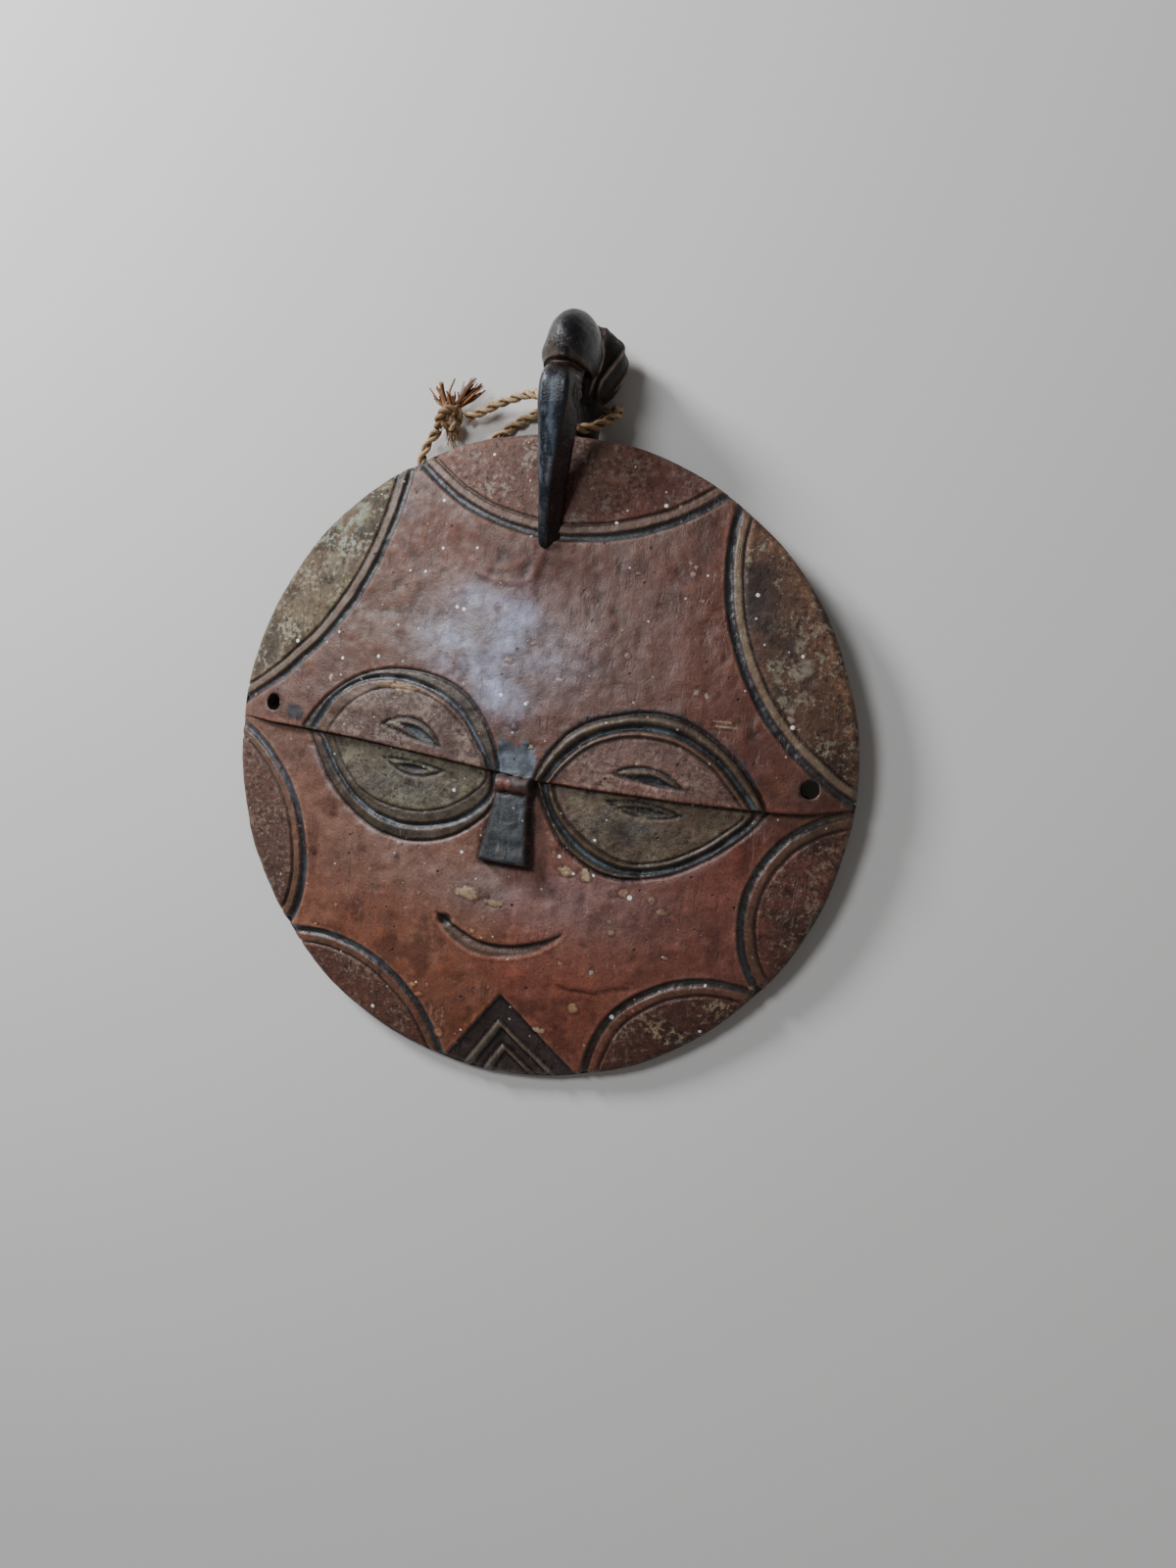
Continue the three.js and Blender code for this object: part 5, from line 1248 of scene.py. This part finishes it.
# painted shade in every hollow and a painted highlight on the high spots
def hollows(v, t, rounds):
    """How far each point of a skin lies above its neighbourhood."""
    e = np.concatenate([t[:, [0, 1]], t[:, [1, 2]], t[:, [2, 0]]])
    e = np.concatenate([e, e[:, ::-1]])
    count = np.bincount(e[:, 0], minlength=len(v)).astype(float)
    avg = v[:, 2].copy()
    for _ in range(rounds):
        avg = np.bincount(e[:, 0], avg[e[:, 1]], len(v)) / np.maximum(count, 1)
    return v[:, 2] - avg


lift = hollows(front, ft, 7)
inside_rim = smooth(m["rim"] - m["r"], 0.8, 3.5)
groove = np.maximum(np.maximum(np.abs(m["iris_left"]) < 1.6, np.abs(m["iris_right"]) < 1.6), np.abs(lens) < 2.0)
# painted shade in the hollows, weaker in the grooves and at the step
col_front = col_front * (1 - 0.66 * smooth(-lift, 0.03, 0.42) * inside_rim * (1 - 0.7 * groove) * (1 - 0.6 * (np.abs(m["step"]) < 1.6)))[:, None]
# painted highlight on the high spots
col_front = col_front * (1 + (0.42 * smooth(lift, 0.03, 0.38) * inside_rim)[:, None] * np.array([1.0, 0.88, 0.78]))
side_tone = np.tile((0.060, 0.036, 0.026), (n_rest, 1))
rmix = fbm(rest, 30, 3, 141)
side_tone = mix(side_tone, (0.026, 0.016, 0.012), smooth(rmix, -0.2, 0.8))
side_tone = mix(side_tone, (0.115, 0.080, 0.052), 0.5 * smooth(fbm(rest, 9, 3, 142), 0.2, 0.9))
deep_in = (np.hypot(rest[:, 0], rest[:, 1]) < R - RIM_WIDE)
side_tone = mix(side_tone, (0.110, 0.062, 0.038), 0.75 * deep_in * smooth(fbm(rest, (14, 60, 14), 3, 143), -0.6, 0.7))
# the wall of the hollow and rim take the front's colour at their top
tone = np.concatenate([col_front, side_tone])
for k, ringv in enumerate(rows_[1:4]):
    f = (0.75, 0.45, 0.2)[k]
    tone[ringv] = tone[ringv] * (1 - f) + tone[front_rim] * f

gloss = np.concatenate([
    0.47 - 0.09 * gauss(fv, (-22, 54), (42, 32)) + 0.20 * gauss(fv, (6, 92), (34, 13)) + 0.13 * gauss(fv, (-54, 100), (28, 16)) + 0.07 * gauss(fv, (-95, 70), (50, 50)) - 0.05 * smooth(-fv[:, 1], 20, 60) + 0.20 * (lens > 6.6) - 0.14 * ((np.abs(m["iris_left"]) < 1.6) | (np.abs(m["iris_right"]) < 1.6)) - 0.08 * (np.abs(lens) < 2.0) - 0.06 * (m["wedge"] > -0.5) + 0.06 * fbm(fv, 20, 3, 151),
    np.full(n_rest, 0.72),
])
mask = mesh_object("mask_carving", place, T)
paint(mask, tone)
value(mask, gloss, "rough")
value(mask, np.concatenate([np.maximum(smooth(lens, 6.4, 7.4), np.maximum(0.8 * smooth(m["field_left"], 0.2, 1.2), 0.8 * smooth(m["field_right"], 0.2, 1.2))), np.zeros(n_rest)]), "field")


drop_at = [int(((fv[:, 0] - u) ** 2 + (fv[:, 1] - v) ** 2).argmin()) for (u, v), _ in DROPS]
wood = wood_material("carved_wood", drops=[(tuple(float(x) for x in place[i]), radius / 1000) for i, (_, radius) in zip(drop_at, DROPS)])
mask.data.materials.append(wood)
value(mask, np.r_[np.ones(len(front)), np.zeros(n_rest)], "front")
paint(mask, np.concatenate([fleck_front, np.tile((0.1, 0.08, 0.06), (n_rest, 1))]), "fleck")
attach(mask, "root")
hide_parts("mask")


# ---------------------------------------------------------------- the bird, carved in one with the mask
def between(stations, step):
    """Stations (first number runs along v) filled in smoothly."""
    s = np.array(stations, float)
    t = np.arange(s[0, 0], s[-1, 0] + step / 2, step)
    out = [t]
    for k in range(1, s.shape[1]):
        out.append(np.array([hermite(s[:, 0], s[:, k], x) for x in t]))
    return np.stack(out, 1)


def hermite(xs, ys, x):
    i = int(np.clip(np.searchsorted(xs, x) - 1, 0, len(xs) - 2))
    d = np.diff(ys) / np.diff(xs)
    def tangent(j):
        if j == 0:
            return d[0]
        if j == len(xs) - 1:
            return d[-1]
        return 0.0 if d[j - 1] * d[j] <= 0 else 2 * d[j - 1] * d[j] / (d[j - 1] + d[j])
    h = xs[i + 1] - xs[i]
    t = (x - xs[i]) / h
    return (2 * t**3 - 3 * t**2 + 1) * ys[i] + (t**3 - 2 * t**2 + t) * h * tangent(i) + (-2 * t**3 + 3 * t**2) * ys[i + 1] + (t**3 - t**2) * h * tangent(i + 1)


def skin_of(rings):
    """A closed skin through rings of points, capped at both ends."""
    n, k = len(rings), len(rings[0])
    p = np.concatenate(list(rings) + [[np.mean(rings[0], 0)], [np.mean(rings[-1], 0)]])
    t = []
    j = np.arange(k)
    for i in range(n - 1):
        a, b = i * k + j, i * k + (j + 1) % k
        t += [np.c_[a, b, b + k], np.c_[a, b + k, a + k]]
    t += [np.c_[np.full(k, n * k), (j + 1) % k, j], np.c_[np.full(k, n * k + 1), (n - 1) * k + j, (n - 1) * k + (j + 1) % k]]
    return p, np.concatenate(t)


def ball(centre, radii, n=48, m=32):
    rings = []
    for i in range(1, m):
        a = math.pi * i / m
        q = np.arange(n) * 2 * np.pi / n
        rings.append(np.c_[centre[0] + radii[0] * math.sin(a) * np.cos(q), centre[1] - radii[1] * math.cos(a) + 0 * q, centre[2] + radii[2] * math.sin(a) * np.sin(q)])
    return skin_of(rings)


def beak_skin():
    # v, centre w, half width, half depth, where the flat front ends on the right, its tilt
    s = between([
        (95.4, 7.6, 2.6, 3.8, -1.2, 0.22), (98, 8.2, 4.2, 5.2, -1.0, 0.22), (101, 8.8, 4.9, 5.8, -0.8, 0.22), (110, 10.6, 5.2, 6.4, -0.4, 0.20), (122, 13.2, 5.7, 7.1, 0.4, 0.16),
        (134, 15, 6.8, 8.1, 2.0, 0.10), (146, 16.8, 7.8, 9.2, 4.0, 0.05), (158, 18.9, 8.7, 10.4, 5.8, 0.02), (165, 19.4, 8.9, 10.6, 6.0, 0.0), (169, 18.6, 8.6, 10.4, 5.4, 0.0),
        (172, 16.6, 8.2, 10.2, 4.6, 0.0), (175, 14.0, 7.6, 9.6, 4.0, 0.0), (178, 11.0, 6.8, 9, 4, 0.0), (184, 7.0, 5, 6, 3, 0.0)], 0.8)
    q = np.arange(96) * 2 * np.pi / 96
    c, sn = np.cos(q), np.sin(q)
    rings = []
    for v, w, a, b, xr, tilt in s:
        n = 2.7
        rho = 1 / ((np.abs(c) / a) ** n + (np.abs(sn) / b) ** n) ** (1 / n)
        den = -math.sin(tilt) * c + math.cos(tilt) * sn
        face = np.where(den > 0.05, 0.93 * b * math.cos(tilt) / np.maximum(den, 0.05), 99)
        e, o = np.array([xr, 0.95 * b]), np.array([a * 0.99, -0.15 * b])
        nn = np.array([e[1] - o[1], o[0] - e[0]])
        nn = nn / np.linalg.norm(nn)
        den = nn[0] * c + nn[1] * sn
        wall = np.where(den > 0.05, (nn @ o) / np.maximum(den, 0.05), 99)
        # soft minimum keeps the edges rubbed, not razor sharp
        k = 6.0
        rho = -np.log(np.exp(-k * rho) + np.exp(-k * np.minimum(face, 40)) + np.exp(-k * np.minimum(wall, 40))) / k
        rings.append(np.c_[rho * c, np.full(96, v), w + rho * sn])
    return skin_of(rings)


def loft_skin(stations, sides=64, n=2.0, step=1.2):
    s = between(stations, step)
    q = np.arange(sides) * 2 * np.pi / sides
    rings = []
    for v, w, a, b in s:
        rho = 1 / ((np.abs(np.cos(q)) / a) ** n + (np.abs(np.sin(q)) / b) ** n) ** (1 / n)
        rings.append(np.c_[rho * np.cos(q), np.full(sides, v), w + rho * np.sin(q)])
    return skin_of(rings)


def cranium_skin():
    p, t = ball((0.7, 185, 7.0), (12.0, 16.9, 19.6), 64, 48)
    # the brow: the cap stops at an overhanging arched edge
    limit = 176.6 - 0.022 * (p[:, 0] - 0.5) ** 2 - np.maximum(0, 14 - p[:, 2]) * 0.10
    p[:, 0] -= 2.4 * smooth(-p[:, 0], 1, 11) * smooth(188 - p[:, 1], 0, 9)
    under = p[:, 1] < limit
    p[under, 1] = limit[under] + (p[under, 1] - limit[under]) * 0.06
    return p, t


pieces = [
    beak_skin(),
    cranium_skin(),
    loft_skin([(163, -12.3, 8.5, 5.5), (166, -12.8, 11.5, 8.5), (170, -13.4, 14.8, 11.6), (174, -14, 17.2, 13.4), (180, -15, 19.6, 15), (186, -15, 20.5, 15.2), (192, -14.7, 19.6, 13.8), (197, -14.0, 16.4, 11.2), (201, -13.4, 11.6, 8.2), (203.4, -13.0, 6, 4.6)], 88),
    ball((0, 184, -3), (12.5, 13.5, 13)),
    loft_skin([(134, -3.0, 13.0, 2.6), (140, -4.6, 12.8, 3.6), (144, -6, 12.6, 4.4), (150, -9.2, 12, 5.6), (157, -12, 11.4, 6.8), (165, -13.0, 12, 8), (174, -13.5, 13, 10)], 64, 2.3),
]
bv_all, bt_all, base = [], [], 0
for p, t in pieces:
    bv_all.append(p)
    bt_all.append(t + base)
    base += len(p)
bird = mesh_object("bird", np.concatenate(bv_all), np.concatenate(bt_all))
bird.select_set(True)
bpy.context.view_layer.objects.active = bird
remesh = bird.modifiers.new("join", "REMESH")
remesh.mode, remesh.voxel_size, remesh.adaptivity = "VOXEL", 0.62, 0.0
soft = bird.modifiers.new("rub", "SMOOTH")
soft.factor, soft.iterations = 0.5, 5
dg = bpy.context.evaluated_depsgraph_get()
solved = bpy.data.meshes.new_from_object(bird.evaluated_get(dg))
bird.modifiers.clear()
old = bird.data
bird.data = solved
bpy.data.meshes.remove(old)


def read(mesh):
    v = np.empty(len(mesh.vertices) * 3, np.float32)
    mesh.vertices.foreach_get("co", v)
    n = np.empty(len(mesh.vertices) * 3, np.float32)
    mesh.vertex_normals.foreach_get("vector", n)
    return v.reshape(-1, 3).astype(float), n.reshape(-1, 3).astype(float)


def to_curve(p, points, step=0.7, snap=None):
    """Distance of points to a smooth space curve and how far along, 0 to 1."""
    c = curve(points, step)
    if snap is not None:
        c = np.array([snap[((snap - q) ** 2).sum(1).argmin()] for q in c])
        for _ in range(4):
            c[1:-1] = (c[:-2] + 2 * c[1:-1] + c[2:]) / 4
    best, t = np.full(len(p), 1e9), np.zeros(len(p))
    for k in range(len(c)):
        d = np.sqrt(((p - c[k]) ** 2).sum(1))
        b = d < best
        best[b], t[b] = d[b], k / (len(c) - 1)
    return best, t


P, N = read(bird.data)
shift = np.zeros(len(P))
tone_b = np.zeros((len(P), 3))
# swept ridges of the crest, both sides and round the back
RIDGES = [
    [(6.5, 165, -4), (8.2, 174, -2), (9.4, 182, -0.6), (9.6, 190.8, -2.5), (9.9, 196.5, -6), (8.8, 200.2, -11)],
    [(10.0, 167, -6.5), (11.7, 173.8, -3.6), (14.2, 180, -5.2), (16.2, 186, -8.4), (16.6, 191.5, -12.5), (13.2, 196.5, -16)],
    [(13.6, 168.5, -11), (17.6, 174.5, -12.5), (19.0, 181, -15), (18.4, 187.5, -18.5), (15.4, 193, -21), (10.5, 197.5, -19.5)],
    [(12.5, 168, -18), (15.6, 174, -21.5), (16.2, 181, -24), (14.8, 188, -25.5), (10.5, 194.5, -24.0), (5.5, 199, -19.5)],
    [(6.5, 168, -22), (8, 174, -26), (8.4, 181, -28.5), (7.4, 188.5, -28.6), (5.2, 195, -25.6), (2.8, 199.5, -20)],
]
on_crest = smooth(-(P[:, 2] - 1.5) + 0.0 * P[:, 1], -3.5, 2.5) * smooth(P[:, 1], 163, 168) * smooth(np.abs(P[:, 0]) + np.maximum(0, -P[:, 2] - 3), 5.0, 8.0)
ridge_all = np.zeros(len(P))
for side in (1, -1):
    q = P * [side, 1, 1]
    mine = q[:, 0] > -1.5
    for line in RIDGES:
        d, t = to_curve(q, line, 0.9, P * [side, 1, 1])
        lift = np.exp(-((d / 1.45) ** 2)) * np.sin(np.pi * np.clip(t * 0.92 + 0.06, 0, 1)) ** 0.5
        ridge_all = np.maximum(ridge_all, np.where(mine, lift, 0))
shift += on_crest * (1.8 * ridge_all - 1.45)
# brow edge: a crisp overhang all round the front of the cap
brow_line = [(-11.2, 173.4, 8), (-9.8, 175.2, 13.8), (-6, 176.4, 20), (0, 177.0, 24.2), (5, 176.7, 23.6), (9, 175.6, 19), (11.6, 174.6, 13), (12.4, 172.4, 7.5), (11.8, 168.5, 2.0)]
d, t = to_curve(P, brow_line, 0.5)
c = curve(brow_line, 0.5)
near = c[(t * (len(c) - 1)).round().astype(int)]
side_up = (P - near) @ np.array([0.0, 0.86, -0.5])
shift += 0.65 * np.exp(-(d / 1.5) ** 2) * (side_up > 0.0) - 0.75 * np.exp(-((d - 1.0) / 1.2) ** 2) * smooth(-side_up, 0.0, 0.8) * (P[:, 2] > 0)
# eye arcs cut in the sides of the beak's root
for side in (1, -1):
    q = P * [side, 1, 1]
    e = np.hypot((q[:, 1] - 163.2) * 1.0, (q[:, 2] - 15.0) * 0.86)
    flat = smooth(q[:, 0], 4.5, 6.5) * smooth(176 - q[:, 1], 0, 2.0)
    for radius in (2.6, 5.0, 7.4):
        shift -= 0.5 * flat * hump((e - radius) / 0.8)
    shift += 0.35 * flat * hump(e / 1.8)
# knife marks along the beak and cap
shift += 0.10 * fbm(P, 9, 3, 161) + 0.10 * np.abs(noise(P, (2.4, 16, 2.4), 162)) * (P[:, 1] < 176)
shift += 0.07 * np.abs(noise(P, (16, 3.0, 3.0), 163)) * (P[:, 1] > 176)
# a groove all along the right of the beak's flat front where the wall starts, and the split of the beak on both sides
mouth_w = 18.5 - (172 - P[:, 1]) * 0.165
shift -= 0.35 * hump((P[:, 2] - mouth_w + 4.2) / 0.7) * smooth(P[:, 1], 99, 103) * (1 - smooth(P[:, 1], 148, 156)) * (np.abs(P[:, 0]) > 2.5)
P = P + N * shift[:, None]
cut = row(P)
cut[cut[:, 2] < 0, 2] = 0
bird.data.vertices.foreach_set("co", cut.astype(np.float32).ravel())
bird.data.update()

small, mid = fbm(P, 6, 3, 171), fbm(P, 18, 3, 172)
streak = fbm(P * [1, 0.14, 1], 2.2, 3, 173)
tb = np.tile((0.013, 0.0085, 0.008), (len(P), 1))
head = smooth(P[:, 2], 1.0, 5.0)
# lit marks the faces turned towards the light: there the lower beak gets a painted blue sheen and painted highlight
# streaks along the grain, and near the tip brown streaks
lit = smooth(N[:, 2] - 0.25 * N[:, 0], 0.35, 0.85) * head
lower_beak = 1 - smooth(P[:, 1], 166, 171)
tb = mix(tb, (0.013, 0.017, 0.023), lit * lower_beak)
tb = mix(tb, (0.105, 0.135, 0.180), lit * 0.8 * smooth(0.7 * streak + 0.2 * small + 0.22, 0.05, 0.6) * lower_beak * smooth(P[:, 1], 104, 142) * smooth(-P[:, 0] + 1.5, -2, 3))
tb = mix(tb, (0.105, 0.085, 0.066), lit * 0.55 * smooth(streak - 0.2, 0.1, 0.8) * (1 - smooth(P[:, 1], 104, 126)))
cap = smooth(P[:, 1], 176, 178) * smooth(P[:, 2] + 0.15 * P[:, 1], 20, 34)
tb = mix(tb, (0.013, 0.014, 0.017), 0.9 * cap)
# painted blue highlights in arcs on the cap
arc = fbm(np.c_[np.hypot(P[:, 0] - 0.7, (P[:, 1] - 176) * 0.8), P[:, 2] * 0.2, 0 * P[:, 0]], 2.0, 3, 175)
tb = mix(tb, (0.115, 0.145, 0.185), 0.85 * cap * smooth(arc + 0.3 * small, 0.0, 0.55) * gauss(np.c_[P[:, 0], P[:, 1]], (-1, 186), (8, 9)))
tb = mix(tb, (0.075, 0.054, 0.040), 0.7 * gauss(np.c_[P[:, 0], P[:, 1]], (-5.5, 181), (5, 4)) * cap)
# the beak's side walls: the right one, away from the light, is painted dark red as shade with reflected red light; the
# left one dark brown
wall = smooth(np.abs(N[:, 0]), 0.6, 0.9) * smooth(P[:, 2], 0, 5) * (P[:, 1] < 177)
tb = mix(tb, (0.022, 0.0060, 0.0055), 0.9 * wall * (P[:, 0] > 0))
tb = mix(tb, (0.020, 0.011, 0.010), 0.6 * wall * (P[:, 0] < 0))
# painted shadow under the brow's overhang
tb = mix(tb, (0.050, 0.016, 0.012), 0.8 * np.exp(-(d / 2.0) ** 2) * (side_up < 0.2) * (P[:, 2] > 0))
tb = mix(tb, (0.105, 0.066, 0.042), 0.6 * hump((d - 1.6) / 1.7) * (side_up > 0.3) * (P[:, 2] > 8) * smooth(small + 0.4, 0, 0.7))
tb = mix(tb, (0.018, 0.0085, 0.008), 0.9 * on_crest)
tb = mix(tb, (0.36, 0.28, 0.225), 0.9 * on_crest * smooth(ridge_all, 0.5, 0.9) * smooth(small + 0.6, -0.1, 0.6))
tb = mix(tb, (0.050, 0.024, 0.018), 0.25 * smooth(mid, 0.3, 0.9))
tb = mix(tb, (0.045, 0.026, 0.019), 0.75 * (1 - smooth(P[:, 1], 150, 158)) * (P[:, 2] < -1.5))
tb = tb * (1 + 0.16 * small)[:, None]
paint(bird, tb)
value(bird, 0.27 + 0.08 * small + 0.10 * on_crest + 0.2 * (1 - head), "rough")
value(bird, np.zeros(len(P)), "field")
value(bird, 0.5 * smooth(P[:, 2], 0, 6), "front")
paint(bird, np.tile((0.1, 0.1, 0.1), (len(P), 1)), "fleck")
bird.data.polygons.foreach_set("use_smooth", np.full(len(bird.data.polygons), True))
bird.data.materials.clear()
dark_wood = wood_material("dark_carved_wood", 0.5, 0.34)
bird.data.materials.append(dark_wood)
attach(bird, "root")
print("scene: bird", len(P))


# ---------------------------------------------------------------- floor and light
floor = mesh_object("floor", [(-4, -4, 0), (4, -4, 0), (4, 4, 0), (-4, 4, 0)], [(0, 1, 2), (0, 2, 3)], False)
mat, nt, bsdf = nodes_of("pale_floor")
bsdf.inputs["Base Color"].default_value = (0.70, 0.69, 0.675, 1)
soft_n = tex_noise(nt, coords(nt), 30, 3, 0.5).outputs["Fac"]
nt.links.new(ramp(nt, soft_n, 0.2, 0.8, 0.80, 0.88), bsdf.inputs["Roughness"])
floor.data.materials.append(mat)

world = bpy.data.worlds.new("studio")
bpy.context.scene.world = world
world.use_nodes = True
bg = world.node_tree.nodes["Background"]
bg.inputs["Color"].default_value = (1.0, 0.955, 0.93, 1)
bg.inputs["Strength"].default_value = 0.105


def area(name, where, size, power, colour=(1, 1, 1), aim=(0, 0, 0.01)):
    data = bpy.data.lights.new(name, "AREA")
    data.shape, data.size, data.energy, data.color = "DISK", size, power, colour
    o = bpy.data.objects.new(name, data)
    o.location = where
    o.rotation_euler = (Vector(aim) - Vector(where)).to_track_quat("-Z", "Y").to_euler()
    bpy.context.scene.collection.objects.link(o)
    return o


area("key", (-0.50, 0.42, 1.10), 0.40, 7.6, (0.95, 0.97, 1.0))
area("low", (-0.98, 0.76, 0.60), 0.34, 21.0, (0.98, 0.98, 1.0))
area("fill", (0.95, -0.5, 0.9), 1.2, 1.2, (1.0, 0.96, 0.93))
